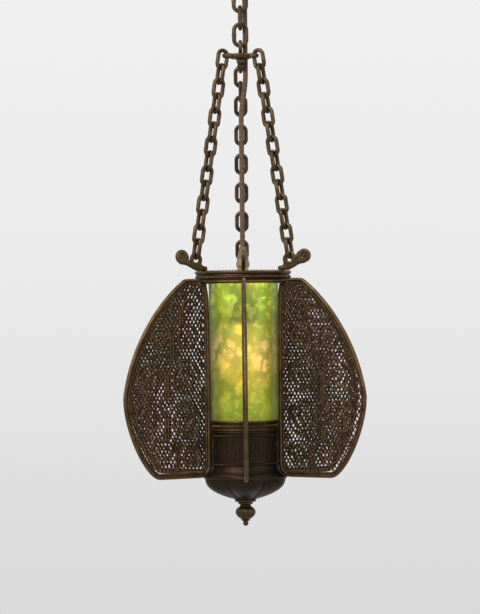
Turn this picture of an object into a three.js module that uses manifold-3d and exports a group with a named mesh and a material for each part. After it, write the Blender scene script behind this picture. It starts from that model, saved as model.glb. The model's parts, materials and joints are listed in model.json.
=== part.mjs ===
// Hanging lantern: a lit glass sleeve stands between six upright pierced fins, and hangs
// by three side chains, a crown and a main chain from a ceiling canopy.
// Millimetres, +Z up. The origin is on the ceiling plane, over the middle of the canopy.
import * as THREE from 'three';
import { mergeVertices } from 'three/addons/utils/BufferGeometryUtils.js';
import Module from 'manifold-3d';

// Clearances
const SEAT = 0.3;        // between pieces that rest on each other
const SLIP = 0.4;        // round a shank, nipple or screw in its hole
const LINK_PLAY = 0.4;   // between the wires of links that hang in one another

// Fins, and how they stand round the axis
const FIN_COUNT = 6;
const FIN_REACH = 164;   // widest radius
const FIN_HEIGHT = 231;  // under the rim collar
const FIN_WIDEST = 134;  // height of the widest point under the rim collar
const FIN_NECK = 80;     // radius at the top outer corner
const FIN_FOOT_IN = 62;  // the flat bottom edge runs between these radii
const FIN_FOOT_OUT = 116;
const FIN_THICK = 5;
const FIN_FRAME = 7;     // solid border round the openwork
const FIN_WEB = 2.6;     // thickness of the openwork inside the border
const LATTICE_WIDTH = 20;  // from one lozenge of the openwork to the next beside it
const LATTICE_HEIGHT = 34;
const LATTICE_BAR = 5.5;
const LATTICE_LEAST = 0.2; // smaller shares of a lozenge at the border stay solid
const FIN_SHOULDER = 6;  // the fin's top edge stands this far over the collar's foot

// Glass sleeve
const GLASS_R = 42;
const GLASS_WALL = 3;
const GLASS_HEIGHT = 178;
const GLASS_LIFT = 4;    // free play over its top edge
const GLASS_GAP = 0.9;   // round the sleeve, in the collar and in the base ring

// Rim collar and the lamp spider in it
const COLLAR_HEIGHT = 15;
const COLLAR_R = 58;
const LEDGE_R = 50;      // recess that takes the spider
const SPIDER_THICK = 3.5;
const SPIDER_RIM = 8;
const SPIDER_ARM = 7;
const SPIDER_HUB = 10;

// Horns
const HORN_THICK = 5;
const HORN_REACH = 92;
const HORN_HEIGHT = 25;
const HORN_FOOT = 5;
const HORN_CURL = 8.2;   // radius of the curl at its end
const HORN_CURL_HOLE = 3.4;
const HORN_RISE = 3;     // the curl's top over the ring for the chain
const EYE_R = 4.2;
const EYE_LAND = 3.6;
const EYE_PLAY = 1.1;    // over a link's wire in an eye, where its bow curves up

// Chains
const LINK_WIRE = 2.5;   // wire radius of a main link
const LINK_WIDTH = 20;
const LINK_LENGTH = 31;
const LINK_COUNT = 4;
const SIDE_WIRE = 2.3;
const SIDE_WIDTH = 16;
const SIDE_LENGTH = 26.3;
const SIDE_COUNT = 14;
const SIDE_WELD = 0.6;   // how far links of a side chain press into one another
const SIDE_CHAINS = 3;
const CHAIN_FOOT_R = 64.7;

// Canopy and its fixing
const CANOPY_R = 62;
const CANOPY_DEPTH = 34;
const CANOPY_WALL = 1.6;
const CANOPY_FLAT = 26;  // radius of the flat middle
const BAR_LENGTH = 100;
const BAR_WIDTH = 20;
const BAR_THICK = 3;
const BAR_BOSS_R = 9;
const BAR_BOSS = 8;
const BAR_HOLE_R = 2.6;
const BAR_HOLE_PITCH = 76;
const BUSH_WALL = 1.4;   // of the lead's bush in the canopy
const NIPPLE_R = 5;
const NUT_R = 9;
const NUT_HEIGHT = 6;
const LOOP_WIRE = 2.4;
const LOOP_R = 9.5;      // centre line of the loop's ring
const LOOP_PLAY = 0.8;   // between the loop and the collar nut over it

// Crown: eye bolt, cap nut and plate with three arms
const EYE_WIRE = 2.2;
const EYE_RING_R = 6.5;
const EYE_SHANK_R = 2.6;
const EYE_NUT_R = 4.8;
const EYE_NUT_HEIGHT = 5;
const EYE_CAP = 9;       // the nut's closed end, under its hexagon
const CROWN_R = 14;
const CROWN_THICK = 5;
const ARM_WIDTH = 10;
const ARM_HOLE_R = 4;
const ARM_LAND = 4;      // metal outside an arm's hole, which a link goes round
const CHAIN_HEAD_R = 23.5;

// Lamp
const LAMP_NIPPLE_BORE = 3.5;
const NIPPLE_PROUD = 6;  // over the lock nut
const HOLDER_DROP = 10;  // from the spider's foot to the holder
const HOLDER_FLOOR = 5;
const LOCK_NUT_R = 8;
const LOCK_NUT_HEIGHT = 4.5;
const GRIP_HEIGHT = 24;
const HOLDER_R = 18;
const HOLDER_CAP = 16;
const HOLDER_SHELL = 32;
const HOLDER_WALL = 2;
const BULB_BASE_R = 13.2;
const BULB_BASE = 27;
const BULB_R = 30;
const BULB_HEIGHT = 80;
const BULB_GLASS = 1;

// Base
const BASE_RING_HEIGHT = 12;
const BASE_FLOOR = 4;
const BASE_WALL = 3.6;
const BASE_SPOKE = 8;
const BASE_HUB = 10;
const STUD_R = 3;
const BOWL_WALL = 1.8;
const BOWL_R = 54;       // widest radius, under the fins
const BOWL_DEPTH = 28;   // under the fins' bottom edge
const BOWL_MOUTH = 13;
const BOWL_LOBE = 0.12;  // depth of the scallops, as a share of the radius
const ROSETTE_R = 15;
const ROSETTE_THICK = 2.4;
const FINIAL_R = 12;
const FINIAL_HEIGHT = 29;

// Lamp lead
const LEAD_R = 3;
const LEAD_CHAIN = 5.8;  // its place beside the chain, along x and along y
const LEAD_CANOPY = 12.5; // its place in the canopy, along x and along y
const LEAD_BEND = 30;    // height of its bend from the canopy in to the chain
const LEAD_LONG_BEND = 60; // and of the one from the crown in to the axis
const LEAD_SIDES = 8;

// Facets
const ROUND = 24;        // steps round a turned piece
const LARGE_ROUND = 30;
const SMALL_ROUND = 14;

// Heights, worked out from the ceiling down
const linkReach = LINK_LENGTH - 2 * LINK_WIRE;
const linkPitch = linkReach - 2 * LINK_WIRE - LINK_PLAY;
const loopTopZ = -CANOPY_DEPTH - SEAT - NUT_HEIGHT - LOOP_PLAY - LOOP_WIRE;
const loopFootZ = loopTopZ - 2 * LOOP_R;
const firstLinkZ = loopFootZ + LOOP_WIRE + LINK_WIRE + LINK_PLAY;
const lastLinkFootZ = firstLinkZ - (LINK_COUNT - 1) * linkPitch - linkReach;
const eyeTopZ = lastLinkFootZ + LINK_WIRE + EYE_WIRE + LINK_PLAY;
const eyeFootZ = eyeTopZ - 2 * EYE_RING_R;
const crownTopZ = eyeFootZ - EYE_WIRE;
const crownPlateZ = crownTopZ - CROWN_THICK;
const capNutFootZ = crownPlateZ - SEAT - EYE_NUT_HEIGHT - EYE_CAP;
const sideReach = SIDE_LENGTH - 2 * SIDE_WIRE;
const sidePitch = sideReach - 2 * SIDE_WIRE + SIDE_WELD;
const chainHeadZ = crownTopZ + SIDE_WIRE + EYE_PLAY;
const chainRun = (SIDE_COUNT - 1) * sidePitch + sideReach;
const chainSpread = CHAIN_FOOT_R - CHAIN_HEAD_R;
const chainFootZ = chainHeadZ - Math.sqrt(chainRun ** 2 - chainSpread ** 2);
const hornEyeZ = chainFootZ + SIDE_WIRE + EYE_PLAY - EYE_R;
const collarTopZ = hornEyeZ - HORN_HEIGHT + EYE_R + EYE_LAND + HORN_RISE;
const collarFootZ = collarTopZ - COLLAR_HEIGHT;
const finTopZ = collarFootZ + FIN_SHOULDER;
const finWideZ = collarFootZ - FIN_WIDEST;
const finFootZ = collarFootZ - FIN_HEIGHT;
const finInnerR = GLASS_R + GLASS_GAP + BASE_WALL + SEAT;
const spiderTopZ = collarTopZ - SEAT;
const glassTopZ = spiderTopZ - SPIDER_THICK - SEAT - GLASS_LIFT;
const glassFootZ = glassTopZ - GLASS_HEIGHT;
const baseFloorZ = glassFootZ - SEAT;
const baseFootZ = baseFloorZ - BASE_FLOOR;
const bowlTopZ = baseFootZ - SEAT;
const bowlFootZ = finFootZ - BOWL_DEPTH;
const rosetteTopZ = bowlFootZ - SEAT;
const finialTopZ = rosetteTopZ - ROSETTE_THICK - SEAT;
const capTopZ = spiderTopZ - SPIDER_THICK - HOLDER_DROP;
const shellTopZ = capTopZ - HOLDER_CAP - SEAT;
const bulbBaseTopZ = shellTopZ - HOLDER_FLOOR;
const bulbTopZ = bulbBaseTopZ - BULB_BASE - SEAT;

const wasm = await Module();
wasm.setup();

// Merges shared corners, drops empty triangles and turns the faces outwards.
function tidy(geometry) {
  const plain = geometry.clone();
  plain.deleteAttribute('normal');
  plain.deleteAttribute('uv');
  const merged = mergeVertices(plain, 1e-4);
  const corners = merged.index.array;
  const kept = [];
  for (let i = 0; i < corners.length; i += 3) {
    const [a, b, c] = [corners[i], corners[i + 1], corners[i + 2]];
    if (a !== b && b !== c && c !== a) kept.push(a, b, c);
  }
  const place = merged.attributes.position;
  const [p, q, s] = [new THREE.Vector3(), new THREE.Vector3(), new THREE.Vector3()];
  let volume = 0;
  for (let i = 0; i < kept.length; i += 3) {
    p.fromBufferAttribute(place, kept[i]);
    q.fromBufferAttribute(place, kept[i + 1]);
    s.fromBufferAttribute(place, kept[i + 2]);
    volume += p.dot(q.cross(s));
  }
  if (volume < 0) {
    for (let i = 0; i < kept.length; i += 3) [kept[i], kept[i + 1]] = [kept[i + 1], kept[i]];
  }
  merged.setIndex(kept);
  return merged;
}

// Solids for cutting and joining
function solid(geometry) {
  const clean = tidy(geometry);
  return new wasm.Manifold(new wasm.Mesh({
    numProp: 3,
    vertProperties: new Float32Array(clean.attributes.position.array),
    triVerts: new Uint32Array(clean.index.array),
  }));
}

function geometryOf(body) {
  const mesh = body.getMesh();
  const geometry = new THREE.BufferGeometry();
  geometry.setAttribute('position', new THREE.BufferAttribute(new Float32Array(mesh.vertProperties), 3));
  geometry.setIndex(new THREE.BufferAttribute(new Uint32Array(mesh.triVerts), 1));
  return geometry;
}

function joined(...geometries) {
  return geometryOf(geometries.map(solid).reduce((whole, next) => whole.add(next)));
}

function cut(geometry, ...tools) {
  return geometryOf(tools.map(solid).reduce((whole, tool) => whole.subtract(tool), solid(geometry)));
}

// Shapes that several pieces use
function turned(profile, steps = ROUND) {
  const outline = [...profile, profile[0]].map(([r, z]) => new THREE.Vector2(r, z));
  return tidy(new THREE.LatheGeometry(outline, steps).rotateX(Math.PI / 2));
}

function cylinder(radius, topZ, footZ, steps = SMALL_ROUND) {
  return turned([[0, topZ], [radius, topZ], [radius, footZ], [0, footZ]], steps);
}

function sleeve(outer, bore, topZ, footZ, steps = SMALL_ROUND) {
  return turned([[bore, topZ], [outer, topZ], [outer, footZ], [bore, footZ]], steps);
}

function hexNut(radius, bore, topZ, footZ) {
  return cut(cylinder(radius, topZ, footZ, 6), cylinder(bore, topZ + 1, footZ - 1));
}

function block(sizeX, sizeY, topZ, footZ) {
  return new THREE.BoxGeometry(sizeX, sizeY, topZ - footZ).translate(0, 0, (topZ + footZ) / 2);
}

// A plate drawn in radius and height, standing on the plane y = 0.
function uprightPlate(shape, thick, curveSegments) {
  const plate = new THREE.ExtrudeGeometry(shape, { depth: thick, bevelEnabled: false, curveSegments });
  return plate.rotateX(Math.PI / 2).translate(0, thick / 2, 0);
}

// A plate drawn in x and y, lying flat.
function flatPlate(shape, topZ, thick, curveSegments) {
  const plate = new THREE.ExtrudeGeometry(shape, { depth: thick, bevelEnabled: false, curveSegments });
  return plate.translate(0, 0, topZ - thick);
}

function disc(radius) {
  return new THREE.Shape().absarc(0, 0, radius, 0, 2 * Math.PI, false);
}

// A chain link: a round wire bent to two half circles and two straight legs, in the plane y = 0,
// with the middle of its upper bow at the origin.
function link(length, width, wire, bends, sides) {
  const reach = length - 2 * wire;
  const bow = width / 2 - wire;
  const ring = new THREE.TorusGeometry(bow / Math.cos(Math.PI / bends), wire, sides, bends);
  ring.rotateZ(Math.PI / bends);
  const place = ring.attributes.position;
  const straight = reach / 2 - bow;
  for (let i = 0; i < place.count; i += 1) {
    const y = place.getY(i);
    place.setY(i, y + Math.sign(y) * straight);
  }
  return tidy(ring.rotateX(Math.PI / 2).translate(0, 0, -reach / 2));
}

function ringUpright(radius, wire, centreZ, bends, sides) {
  const ring = new THREE.TorusGeometry(radius / Math.cos(Math.PI / bends), wire, sides, bends);
  ring.rotateZ(Math.PI / bends).rotateX(Math.PI / 2);
  return tidy(ring.translate(0, 0, centreZ));
}

// Ceiling fixing
function mountingBar() {
  const bar = block(BAR_LENGTH, BAR_WIDTH, 0, -BAR_THICK);
  const boss = cylinder(BAR_BOSS_R, -BAR_THICK / 2, -BAR_BOSS);
  const screwHole = (side) =>
    cylinder(BAR_HOLE_R, 1, -BAR_THICK - 1, 12).translate((side * BAR_HOLE_PITCH) / 2, 0, 0);
  const nippleHole = cylinder(NIPPLE_R + SLIP, -BAR_THICK, -BAR_BOSS - 1);
  return cut(joined(bar, boss), screwHole(1), screwHole(-1), nippleHole);
}

function canopyProfile() {
  const wall = CANOPY_WALL;
  const side = new THREE.CubicBezierCurve(
    new THREE.Vector2(CANOPY_R, -4),
    new THREE.Vector2(CANOPY_R - 3, -CANOPY_DEPTH * 0.62),
    new THREE.Vector2(CANOPY_FLAT + 12, -CANOPY_DEPTH * 0.6),
    new THREE.Vector2(CANOPY_FLAT, -CANOPY_DEPTH),
  ).getPoints(5).map((p) => [p.x, p.y]);
  const inner = side.map(([r, z]) => [r - wall, z + wall * 0.6]).reverse();
  return [
    [CANOPY_R, 0], ...side, [NIPPLE_R + SLIP, -CANOPY_DEPTH],
    [NIPPLE_R + SLIP, -CANOPY_DEPTH + wall], ...inner, [CANOPY_R - wall, 0],
  ];
}

function canopy() {
  const bushHole = cylinder(LEAD_R + BUSH_WALL + 2 * SLIP, -CANOPY_DEPTH / 2, -CANOPY_DEPTH - 1);
  return cut(turned(canopyProfile()), bushHole.translate(LEAD_CANOPY, LEAD_CANOPY, 0));
}

function leadBush() {
  const bore = LEAD_R + SLIP;
  const barrel = bore + BUSH_WALL;
  const flange = barrel + 2;
  const seatZ = -CANOPY_DEPTH - SEAT;
  return turned([
    [bore, seatZ + CANOPY_WALL + 2], [barrel, seatZ + CANOPY_WALL + 2], [barrel, seatZ],
    [flange, seatZ], [flange, seatZ - 2], [bore, seatZ - 4],
  ], SMALL_ROUND).translate(LEAD_CANOPY, LEAD_CANOPY, 0);
}

function collarNut() {
  const topZ = -CANOPY_DEPTH - SEAT;
  const bore = NIPPLE_R + SLIP;
  return turned([
    [bore, topZ], [NUT_R, topZ], [NUT_R, topZ - NUT_HEIGHT * 0.7],
    [NUT_R - 2, topZ - NUT_HEIGHT], [bore, topZ - NUT_HEIGHT],
  ], SMALL_ROUND);
}

function canopyLoop() {
  const ring = ringUpright(LOOP_R, LOOP_WIRE, loopFootZ + LOOP_R, 16, 8);
  const nipple = cylinder(NIPPLE_R, -BAR_THICK - SEAT, loopTopZ + LOOP_WIRE * 0.6);
  return joined(ring, nipple);
}

// Main chain: the links lie across each other by turns.
function mainLink(index) {
  const wire = link(LINK_LENGTH, LINK_WIDTH, LINK_WIRE, 12, 6);
  if (index % 2 === 0) wire.rotateZ(Math.PI / 2);
  return wire.translate(0, 0, firstLinkZ - index * linkPitch);
}

// Crown
function hangerEye() {
  const ring = ringUpright(EYE_RING_R, EYE_WIRE, eyeTopZ - EYE_RING_R, 12, 8).rotateZ(Math.PI / 2);
  const shank = cylinder(EYE_SHANK_R, eyeFootZ, capNutFootZ + EYE_CAP, 12);
  return joined(ring, shank);
}

// Nut with a closed end that tapers to a drop
function hangerNut() {
  const topZ = crownPlateZ - SEAT;
  const neckZ = topZ - EYE_NUT_HEIGHT;
  const drop = turned([
    [0, neckZ + 1], [EYE_NUT_R * 0.8, neckZ + 1], [EYE_NUT_R * 0.8, neckZ - EYE_CAP * 0.1],
    [EYE_NUT_R, neckZ - EYE_CAP * 0.35], [EYE_NUT_R * 0.72, neckZ - EYE_CAP * 0.75], [0, capNutFootZ],
  ], 12);
  return cut(
    joined(cylinder(EYE_NUT_R, topZ, neckZ, 6), drop),
    cylinder(EYE_SHANK_R + SLIP / 2, topZ + 1, neckZ - SEAT, 12),
  );
}

function crownArm() {
  const holeR = CHAIN_HEAD_R - ARM_LAND / 2 - ARM_HOLE_R;
  const tip = new THREE.Shape();
  tip.moveTo(0, -ARM_WIDTH / 2);
  tip.lineTo(holeR, -ARM_WIDTH / 2 - 1.5);
  tip.bezierCurveTo(
    holeR + ARM_HOLE_R + ARM_LAND + 1, -ARM_WIDTH / 2, holeR + ARM_HOLE_R + ARM_LAND + 1,
    ARM_WIDTH / 2, holeR, ARM_WIDTH / 2 + 1.5,
  );
  tip.lineTo(0, ARM_WIDTH / 2);
  tip.holes.push(new THREE.Path().absarc(holeR, 0, ARM_HOLE_R, 0, 2 * Math.PI, true));
  return flatPlate(tip, crownTopZ, CROWN_THICK, 4);
}

function crown() {
  const arms = spokes(SIDE_CHAINS).map((angle) => crownArm().rotateZ(angle));
  const leadHole = cylinder(LEAD_R + SLIP, crownTopZ + 1, crownPlateZ - 1, 12);
  return cut(
    joined(cylinder(CROWN_R, crownTopZ, crownPlateZ, ROUND), ...arms),
    leadHole.translate(LEAD_CHAIN, LEAD_CHAIN, 0),
    cylinder(EYE_SHANK_R + SLIP, crownTopZ + 1, crownPlateZ - 1, 12),
  );
}

// Directions of the fins, from the front, which is -Y. Every second one, from the next on, has a chain.
function spokes(count) {
  const start = count === SIDE_CHAINS ? -Math.PI / 2 + Math.PI / FIN_COUNT * 2 : -Math.PI / 2;
  return Array.from({ length: count }, (_, i) => start + (i * 2 * Math.PI) / count);
}

// Side chain, from the crown's arm out to a horn's eye. Its first link lies in the radial plane.
function sideChain() {
  const lean = Math.atan2(chainSpread, chainHeadZ - chainFootZ);
  const links = [];
  for (let i = 0; i < SIDE_COUNT; i += 1) {
    const wire = link(SIDE_LENGTH, SIDE_WIDTH, SIDE_WIRE, 8, 6);
    if (i % 2 === 1) wire.rotateZ(Math.PI / 2);
    links.push(wire.translate(0, 0, -i * sidePitch));
  }
  return joined(...links).rotateY(-lean).translate(CHAIN_HEAD_R, 0, chainHeadZ);
}

// Horn: a foot on the collar, a ring for the chain and a neck that ends in a curl
function horn() {
  const footZ = collarTopZ + SEAT;
  const eye = new THREE.Vector2(CHAIN_FOOT_R, hornEyeZ);
  const eyeOut = EYE_R + EYE_LAND;
  const curl = new THREE.Vector2(HORN_REACH - HORN_CURL, footZ + HORN_HEIGHT - HORN_CURL);
  const curlFootZ = curl.y - HORN_CURL;
  const side = new THREE.Shape();
  side.moveTo(LEDGE_R, footZ);
  side.lineTo(COLLAR_R + 2, footZ);
  side.bezierCurveTo(COLLAR_R + 10, footZ, curl.x - HORN_CURL, curlFootZ, curl.x, curlFootZ);
  side.absarc(curl.x, curl.y, HORN_CURL, -Math.PI / 2, Math.PI * 1.1, false);
  side.absarc(eye.x, eye.y, eyeOut, -Math.PI * 0.14, Math.PI * 1.14, false);
  side.quadraticCurveTo(COLLAR_R - 2, footZ + HORN_FOOT, LEDGE_R, footZ + HORN_FOOT);
  side.holes.push(new THREE.Path().absarc(eye.x, eye.y, EYE_R, 0, 2 * Math.PI, true));
  side.holes.push(new THREE.Path().absarc(curl.x, curl.y, HORN_CURL_HOLE, 0, 2 * Math.PI, true));
  return uprightPlate(side, HORN_THICK, 7);
}

// Outer edge of a fin, from its neck to its widest point and down to its foot
function finEdges() {
  const wide = new THREE.Vector2(FIN_REACH, finWideZ);
  const neck = new THREE.Vector2(FIN_NECK, finTopZ);
  const foot = new THREE.Vector2(FIN_FOOT_OUT, finFootZ);
  const upper = new THREE.CubicBezierCurve(
    neck,
    new THREE.Vector2(FIN_NECK + 0.38 * (FIN_REACH - FIN_NECK), finTopZ + 0.15 * (finWideZ - finTopZ)),
    new THREE.Vector2(FIN_REACH - 0.1 * (FIN_REACH - FIN_NECK), finTopZ + 0.54 * (finWideZ - finTopZ)),
    wide,
  );
  const lower = new THREE.CubicBezierCurve(
    wide,
    new THREE.Vector2(FIN_REACH, finWideZ + 0.43 * (finFootZ - finWideZ)),
    new THREE.Vector2(FIN_FOOT_OUT + 0.37 * (FIN_REACH - FIN_FOOT_OUT), finFootZ),
    foot,
  );
  return [upper.getPoints(8), lower.getPoints(7).slice(1)];
}

// Radius of an edge that runs downwards, at a height
function reachAt(edge, z) {
  const next = edge.findIndex((p) => p.y <= z);
  const [a, b] = [edge[next - 1], edge[next]];
  return a.x + ((b.x - a.x) * (a.y - z)) / (a.y - b.y);
}

// The field inside a fin's frame, in radius and height
function finField() {
  const edge = finEdges().flat();
  const inner = edge.map((p, i) => {
    const along = edge[Math.min(i + 1, edge.length - 1)].clone().sub(edge[Math.max(i - 1, 0)]).normalize();
    return new THREE.Vector2(p.x + along.y * FIN_FRAME, p.y - along.x * FIN_FRAME);
  });
  const startR = finInnerR + FIN_FRAME;
  const headZ = collarFootZ - SEAT - FIN_FRAME;
  const footZ = finFootZ + FIN_FRAME;
  const heel = FIN_FRAME * 1.2;
  return [
    new THREE.Vector2(startR, footZ + heel), new THREE.Vector2(startR + heel, footZ),
    new THREE.Vector2(reachAt(inner, footZ), footZ),
    ...inner.filter((p) => p.y > footZ && p.y < headZ).reverse(),
    new THREE.Vector2(reachAt(inner, headZ), headZ), new THREE.Vector2(startR, headZ),
  ];
}

// Openings of the field: lozenges in rows, each second row half a width along, cut off at the border
function lozenges(field) {
  const [halfWidth, halfHeight] = [LATTICE_WIDTH / 2, LATTICE_HEIGHT / 2];
  const toSide = (halfWidth * halfHeight) / Math.hypot(halfWidth, halfHeight);
  const open = 1 - LATTICE_BAR / 2 / toSide;
  const corners = [[halfWidth, 0], [0, halfHeight], [-halfWidth, 0], [0, -halfHeight]];
  const lozenge = new THREE.Shape(corners.map(([x, z]) => new THREE.Vector2(x * open, z * open)));
  const opening = solid(uprightPlate(lozenge, FIN_THICK + 2, 1));
  const window = solid(uprightPlate(new THREE.Shape(field), FIN_THICK + 2, 1));
  const startR = finInnerR + FIN_FRAME;
  const headZ = collarFootZ - SEAT - FIN_FRAME;
  const parts = [];
  for (let row = 0; row * halfHeight < FIN_HEIGHT; row += 1) {
    for (let r = startR + (row % 2) * halfWidth; r < FIN_REACH; r += LATTICE_WIDTH) {
      const part = opening.translate([r, 0, headZ - row * halfHeight]).intersect(window);
      if (part.volume() > LATTICE_LEAST * opening.volume()) parts.push(part);
    }
  }
  return parts;
}

function fin() {
  const collarR = COLLAR_R + SEAT;
  const heel = new THREE.QuadraticBezierCurve(
    new THREE.Vector2(FIN_FOOT_IN, finFootZ),
    new THREE.Vector2(finInnerR + 4, finFootZ + 3),
    new THREE.Vector2(finInnerR, finFootZ + 14),
  );
  const outline = [
    new THREE.Vector2(finInnerR, collarFootZ - SEAT), new THREE.Vector2(collarR, collarFootZ - SEAT),
    new THREE.Vector2(collarR, finTopZ), ...finEdges().flat(), ...heel.getPoints(3),
  ];
  const plate = solid(uprightPlate(new THREE.Shape(outline.reverse()), FIN_THICK, 3));
  const field = finField();
  const recess = solid(uprightPlate(new THREE.Shape(field), FIN_THICK, 1));
  const offset = (FIN_WEB + FIN_THICK) / 2;
  const tools = [recess.translate([0, offset, 0]), recess.translate([0, -offset, 0]), ...lozenges(field)];
  return geometryOf(tools.reduce((left, tool) => left.subtract(tool), plate));
}

// Rim collar, with the glass inside it and the spider on its ledge
function rimCollar() {
  const bore = GLASS_R + GLASS_GAP;
  const ledgeZ = spiderTopZ - SPIDER_THICK - SEAT;
  const middleZ = (collarTopZ + collarFootZ) / 2;
  return turned([
    [LEDGE_R, collarTopZ], [COLLAR_R, collarTopZ], [COLLAR_R, collarTopZ - 4],
    [COLLAR_R - 2.2, middleZ], [COLLAR_R, collarFootZ + 4], [COLLAR_R, collarFootZ],
    [bore, collarFootZ], [bore, ledgeZ], [LEDGE_R, ledgeZ],
  ], LARGE_ROUND);
}

function lampSpider() {
  const rimR = LEDGE_R - SLIP;
  const armReach = rimR - SPIDER_RIM / 2;
  const rim = sleeve(rimR, rimR - SPIDER_RIM, spiderTopZ, spiderTopZ - SPIDER_THICK, ROUND);
  const hub = cylinder(SPIDER_HUB, spiderTopZ, spiderTopZ - SPIDER_THICK);
  const arms = spokes(SIDE_CHAINS).map((angle) =>
    block(armReach, SPIDER_ARM, spiderTopZ, spiderTopZ - SPIDER_THICK)
      .translate(armReach / 2, 0, 0).rotateZ(angle));
  const nippleHole = cylinder(NIPPLE_R + SLIP, spiderTopZ + 1, spiderTopZ - SPIDER_THICK - 1);
  return cut(joined(rim, hub, ...arms), nippleHole);
}

// Lamp hanging from the spider
function lampNipple() {
  const topZ = spiderTopZ + SEAT + LOCK_NUT_HEIGHT + NIPPLE_PROUD;
  return sleeve(NIPPLE_R, LAMP_NIPPLE_BORE, topZ, capTopZ - 6);
}

function lockNut() {
  const footZ = spiderTopZ + SEAT;
  return hexNut(LOCK_NUT_R, NIPPLE_R + SLIP, footZ + LOCK_NUT_HEIGHT, footZ);
}

function leadGrip() {
  const footZ = spiderTopZ + 2 * SEAT + LOCK_NUT_HEIGHT;
  const nippleTopZ = spiderTopZ + SEAT + LOCK_NUT_HEIGHT + NIPPLE_PROUD;
  const bore = LEAD_R + SLIP;
  return turned([
    [NIPPLE_R + SLIP, footZ], [NUT_R - 1, footZ], [NUT_R - 1, nippleTopZ],
    [bore + 2.4, footZ + GRIP_HEIGHT * 0.55], [bore + 1.2, footZ + GRIP_HEIGHT],
    [bore, footZ + GRIP_HEIGHT], [bore, nippleTopZ + SEAT], [NIPPLE_R + SLIP, nippleTopZ + SEAT],
  ], SMALL_ROUND);
}

function holderCap() {
  const bore = NIPPLE_R + SLIP;
  const wall = HOLDER_WALL;
  const footZ = capTopZ - HOLDER_CAP;
  return turned([
    [bore, capTopZ], [bore + 3, capTopZ], [HOLDER_R * 0.75, capTopZ - 4], [HOLDER_R, capTopZ - 11],
    [HOLDER_R, footZ], [HOLDER_R - wall, footZ], [HOLDER_R - wall, capTopZ - 12],
    [HOLDER_R * 0.75 - wall, capTopZ - 6.5], [bore, capTopZ - 3],
  ], 20);
}

function lampholder() {
  const footZ = shellTopZ - HOLDER_SHELL;
  const bore = BULB_BASE_R + SLIP;
  return turned([
    [0, shellTopZ], [HOLDER_R, shellTopZ], [HOLDER_R, footZ + 5.5], [HOLDER_R + 1.5, footZ + 4],
    [HOLDER_R + 1.5, footZ], [bore, footZ], [bore, bulbBaseTopZ + SEAT], [0, bulbBaseTopZ + SEAT],
  ], 24);
}

function bulbBase() {
  const footZ = bulbBaseTopZ - BULB_BASE;
  return turned([
    [0, bulbBaseTopZ], [4.5, bulbBaseTopZ], [BULB_BASE_R - 3, bulbBaseTopZ - 3],
    [BULB_BASE_R, bulbBaseTopZ - 5], [BULB_BASE_R, footZ], [0, footZ],
  ], 20);
}

function bulbEnvelope() {
  const centreZ = bulbTopZ - BULB_HEIGHT + BULB_R;
  const neck = BULB_BASE_R - 0.6;
  const globe = [];
  for (let i = 0; i <= 6; i += 1) {
    const turn = 0.72 - (i * (0.72 + Math.PI / 2)) / 6;
    globe.push([BULB_R * Math.cos(turn), centreZ + BULB_R * Math.sin(turn)]);
  }
  globe[6][0] = 0;
  const inside = globe.map(([r, z]) => {
    const shrink = (BULB_R - BULB_GLASS) / BULB_R;
    return [r * shrink, centreZ + (z - centreZ) * shrink];
  }).reverse();
  return turned([
    [neck, bulbTopZ], ...globe, ...inside, [neck - BULB_GLASS, bulbTopZ],
  ], 18);
}

function glassSleeve() {
  return sleeve(GLASS_R, GLASS_R - GLASS_WALL, glassTopZ, glassFootZ, LARGE_ROUND);
}

// Base
function baseRing() {
  const outer = GLASS_R + GLASS_GAP + BASE_WALL;
  const inner = GLASS_R - GLASS_WALL - 4;
  const rim = turned([
    [GLASS_R + GLASS_GAP, baseFootZ + BASE_RING_HEIGHT], [outer, baseFootZ + BASE_RING_HEIGHT],
    [outer, baseFootZ], [inner, baseFootZ], [inner, baseFloorZ], [GLASS_R + GLASS_GAP, baseFloorZ],
  ], LARGE_ROUND);
  const armReach = inner + 2;
  const spokesOut = spokes(SIDE_CHAINS).map((angle) =>
    block(armReach, BASE_SPOKE, baseFloorZ, baseFootZ).translate(armReach / 2, 0, 0).rotateZ(angle));
  const hub = cylinder(BASE_HUB, baseFloorZ, baseFootZ);
  return cut(joined(rim, hub, ...spokesOut), cylinder(STUD_R + SLIP, baseFloorZ + 1, baseFootZ - 1, 12));
}

function baseStud() {
  const headFootZ = baseFloorZ + SEAT;
  const head = cylinder(STUD_R * 2.1, headFootZ + 4.6, headFootZ, 6);
  const rod = cylinder(STUD_R, headFootZ + 1, finialTopZ - FINIAL_HEIGHT * 0.45, 12);
  return joined(head, rod);
}

function scallop(geometry, fromZ, depth) {
  const place = geometry.attributes.position;
  for (let i = 0; i < place.count; i += 1) {
    const below = Math.min(1, Math.max(0, (fromZ - place.getZ(i)) / 8));
    const turn = Math.atan2(place.getY(i), place.getX(i));
    const radius = Math.hypot(place.getX(i), place.getY(i));
    const dip = (1 - Math.cos(FIN_COUNT * (turn + Math.PI / 2))) / 2;
    const share = radius > BOWL_MOUTH ? 1 - depth * below * dip : 1;
    place.setX(i, place.getX(i) * share);
    place.setY(i, place.getY(i) * share);
  }
  return geometry;
}

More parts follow.
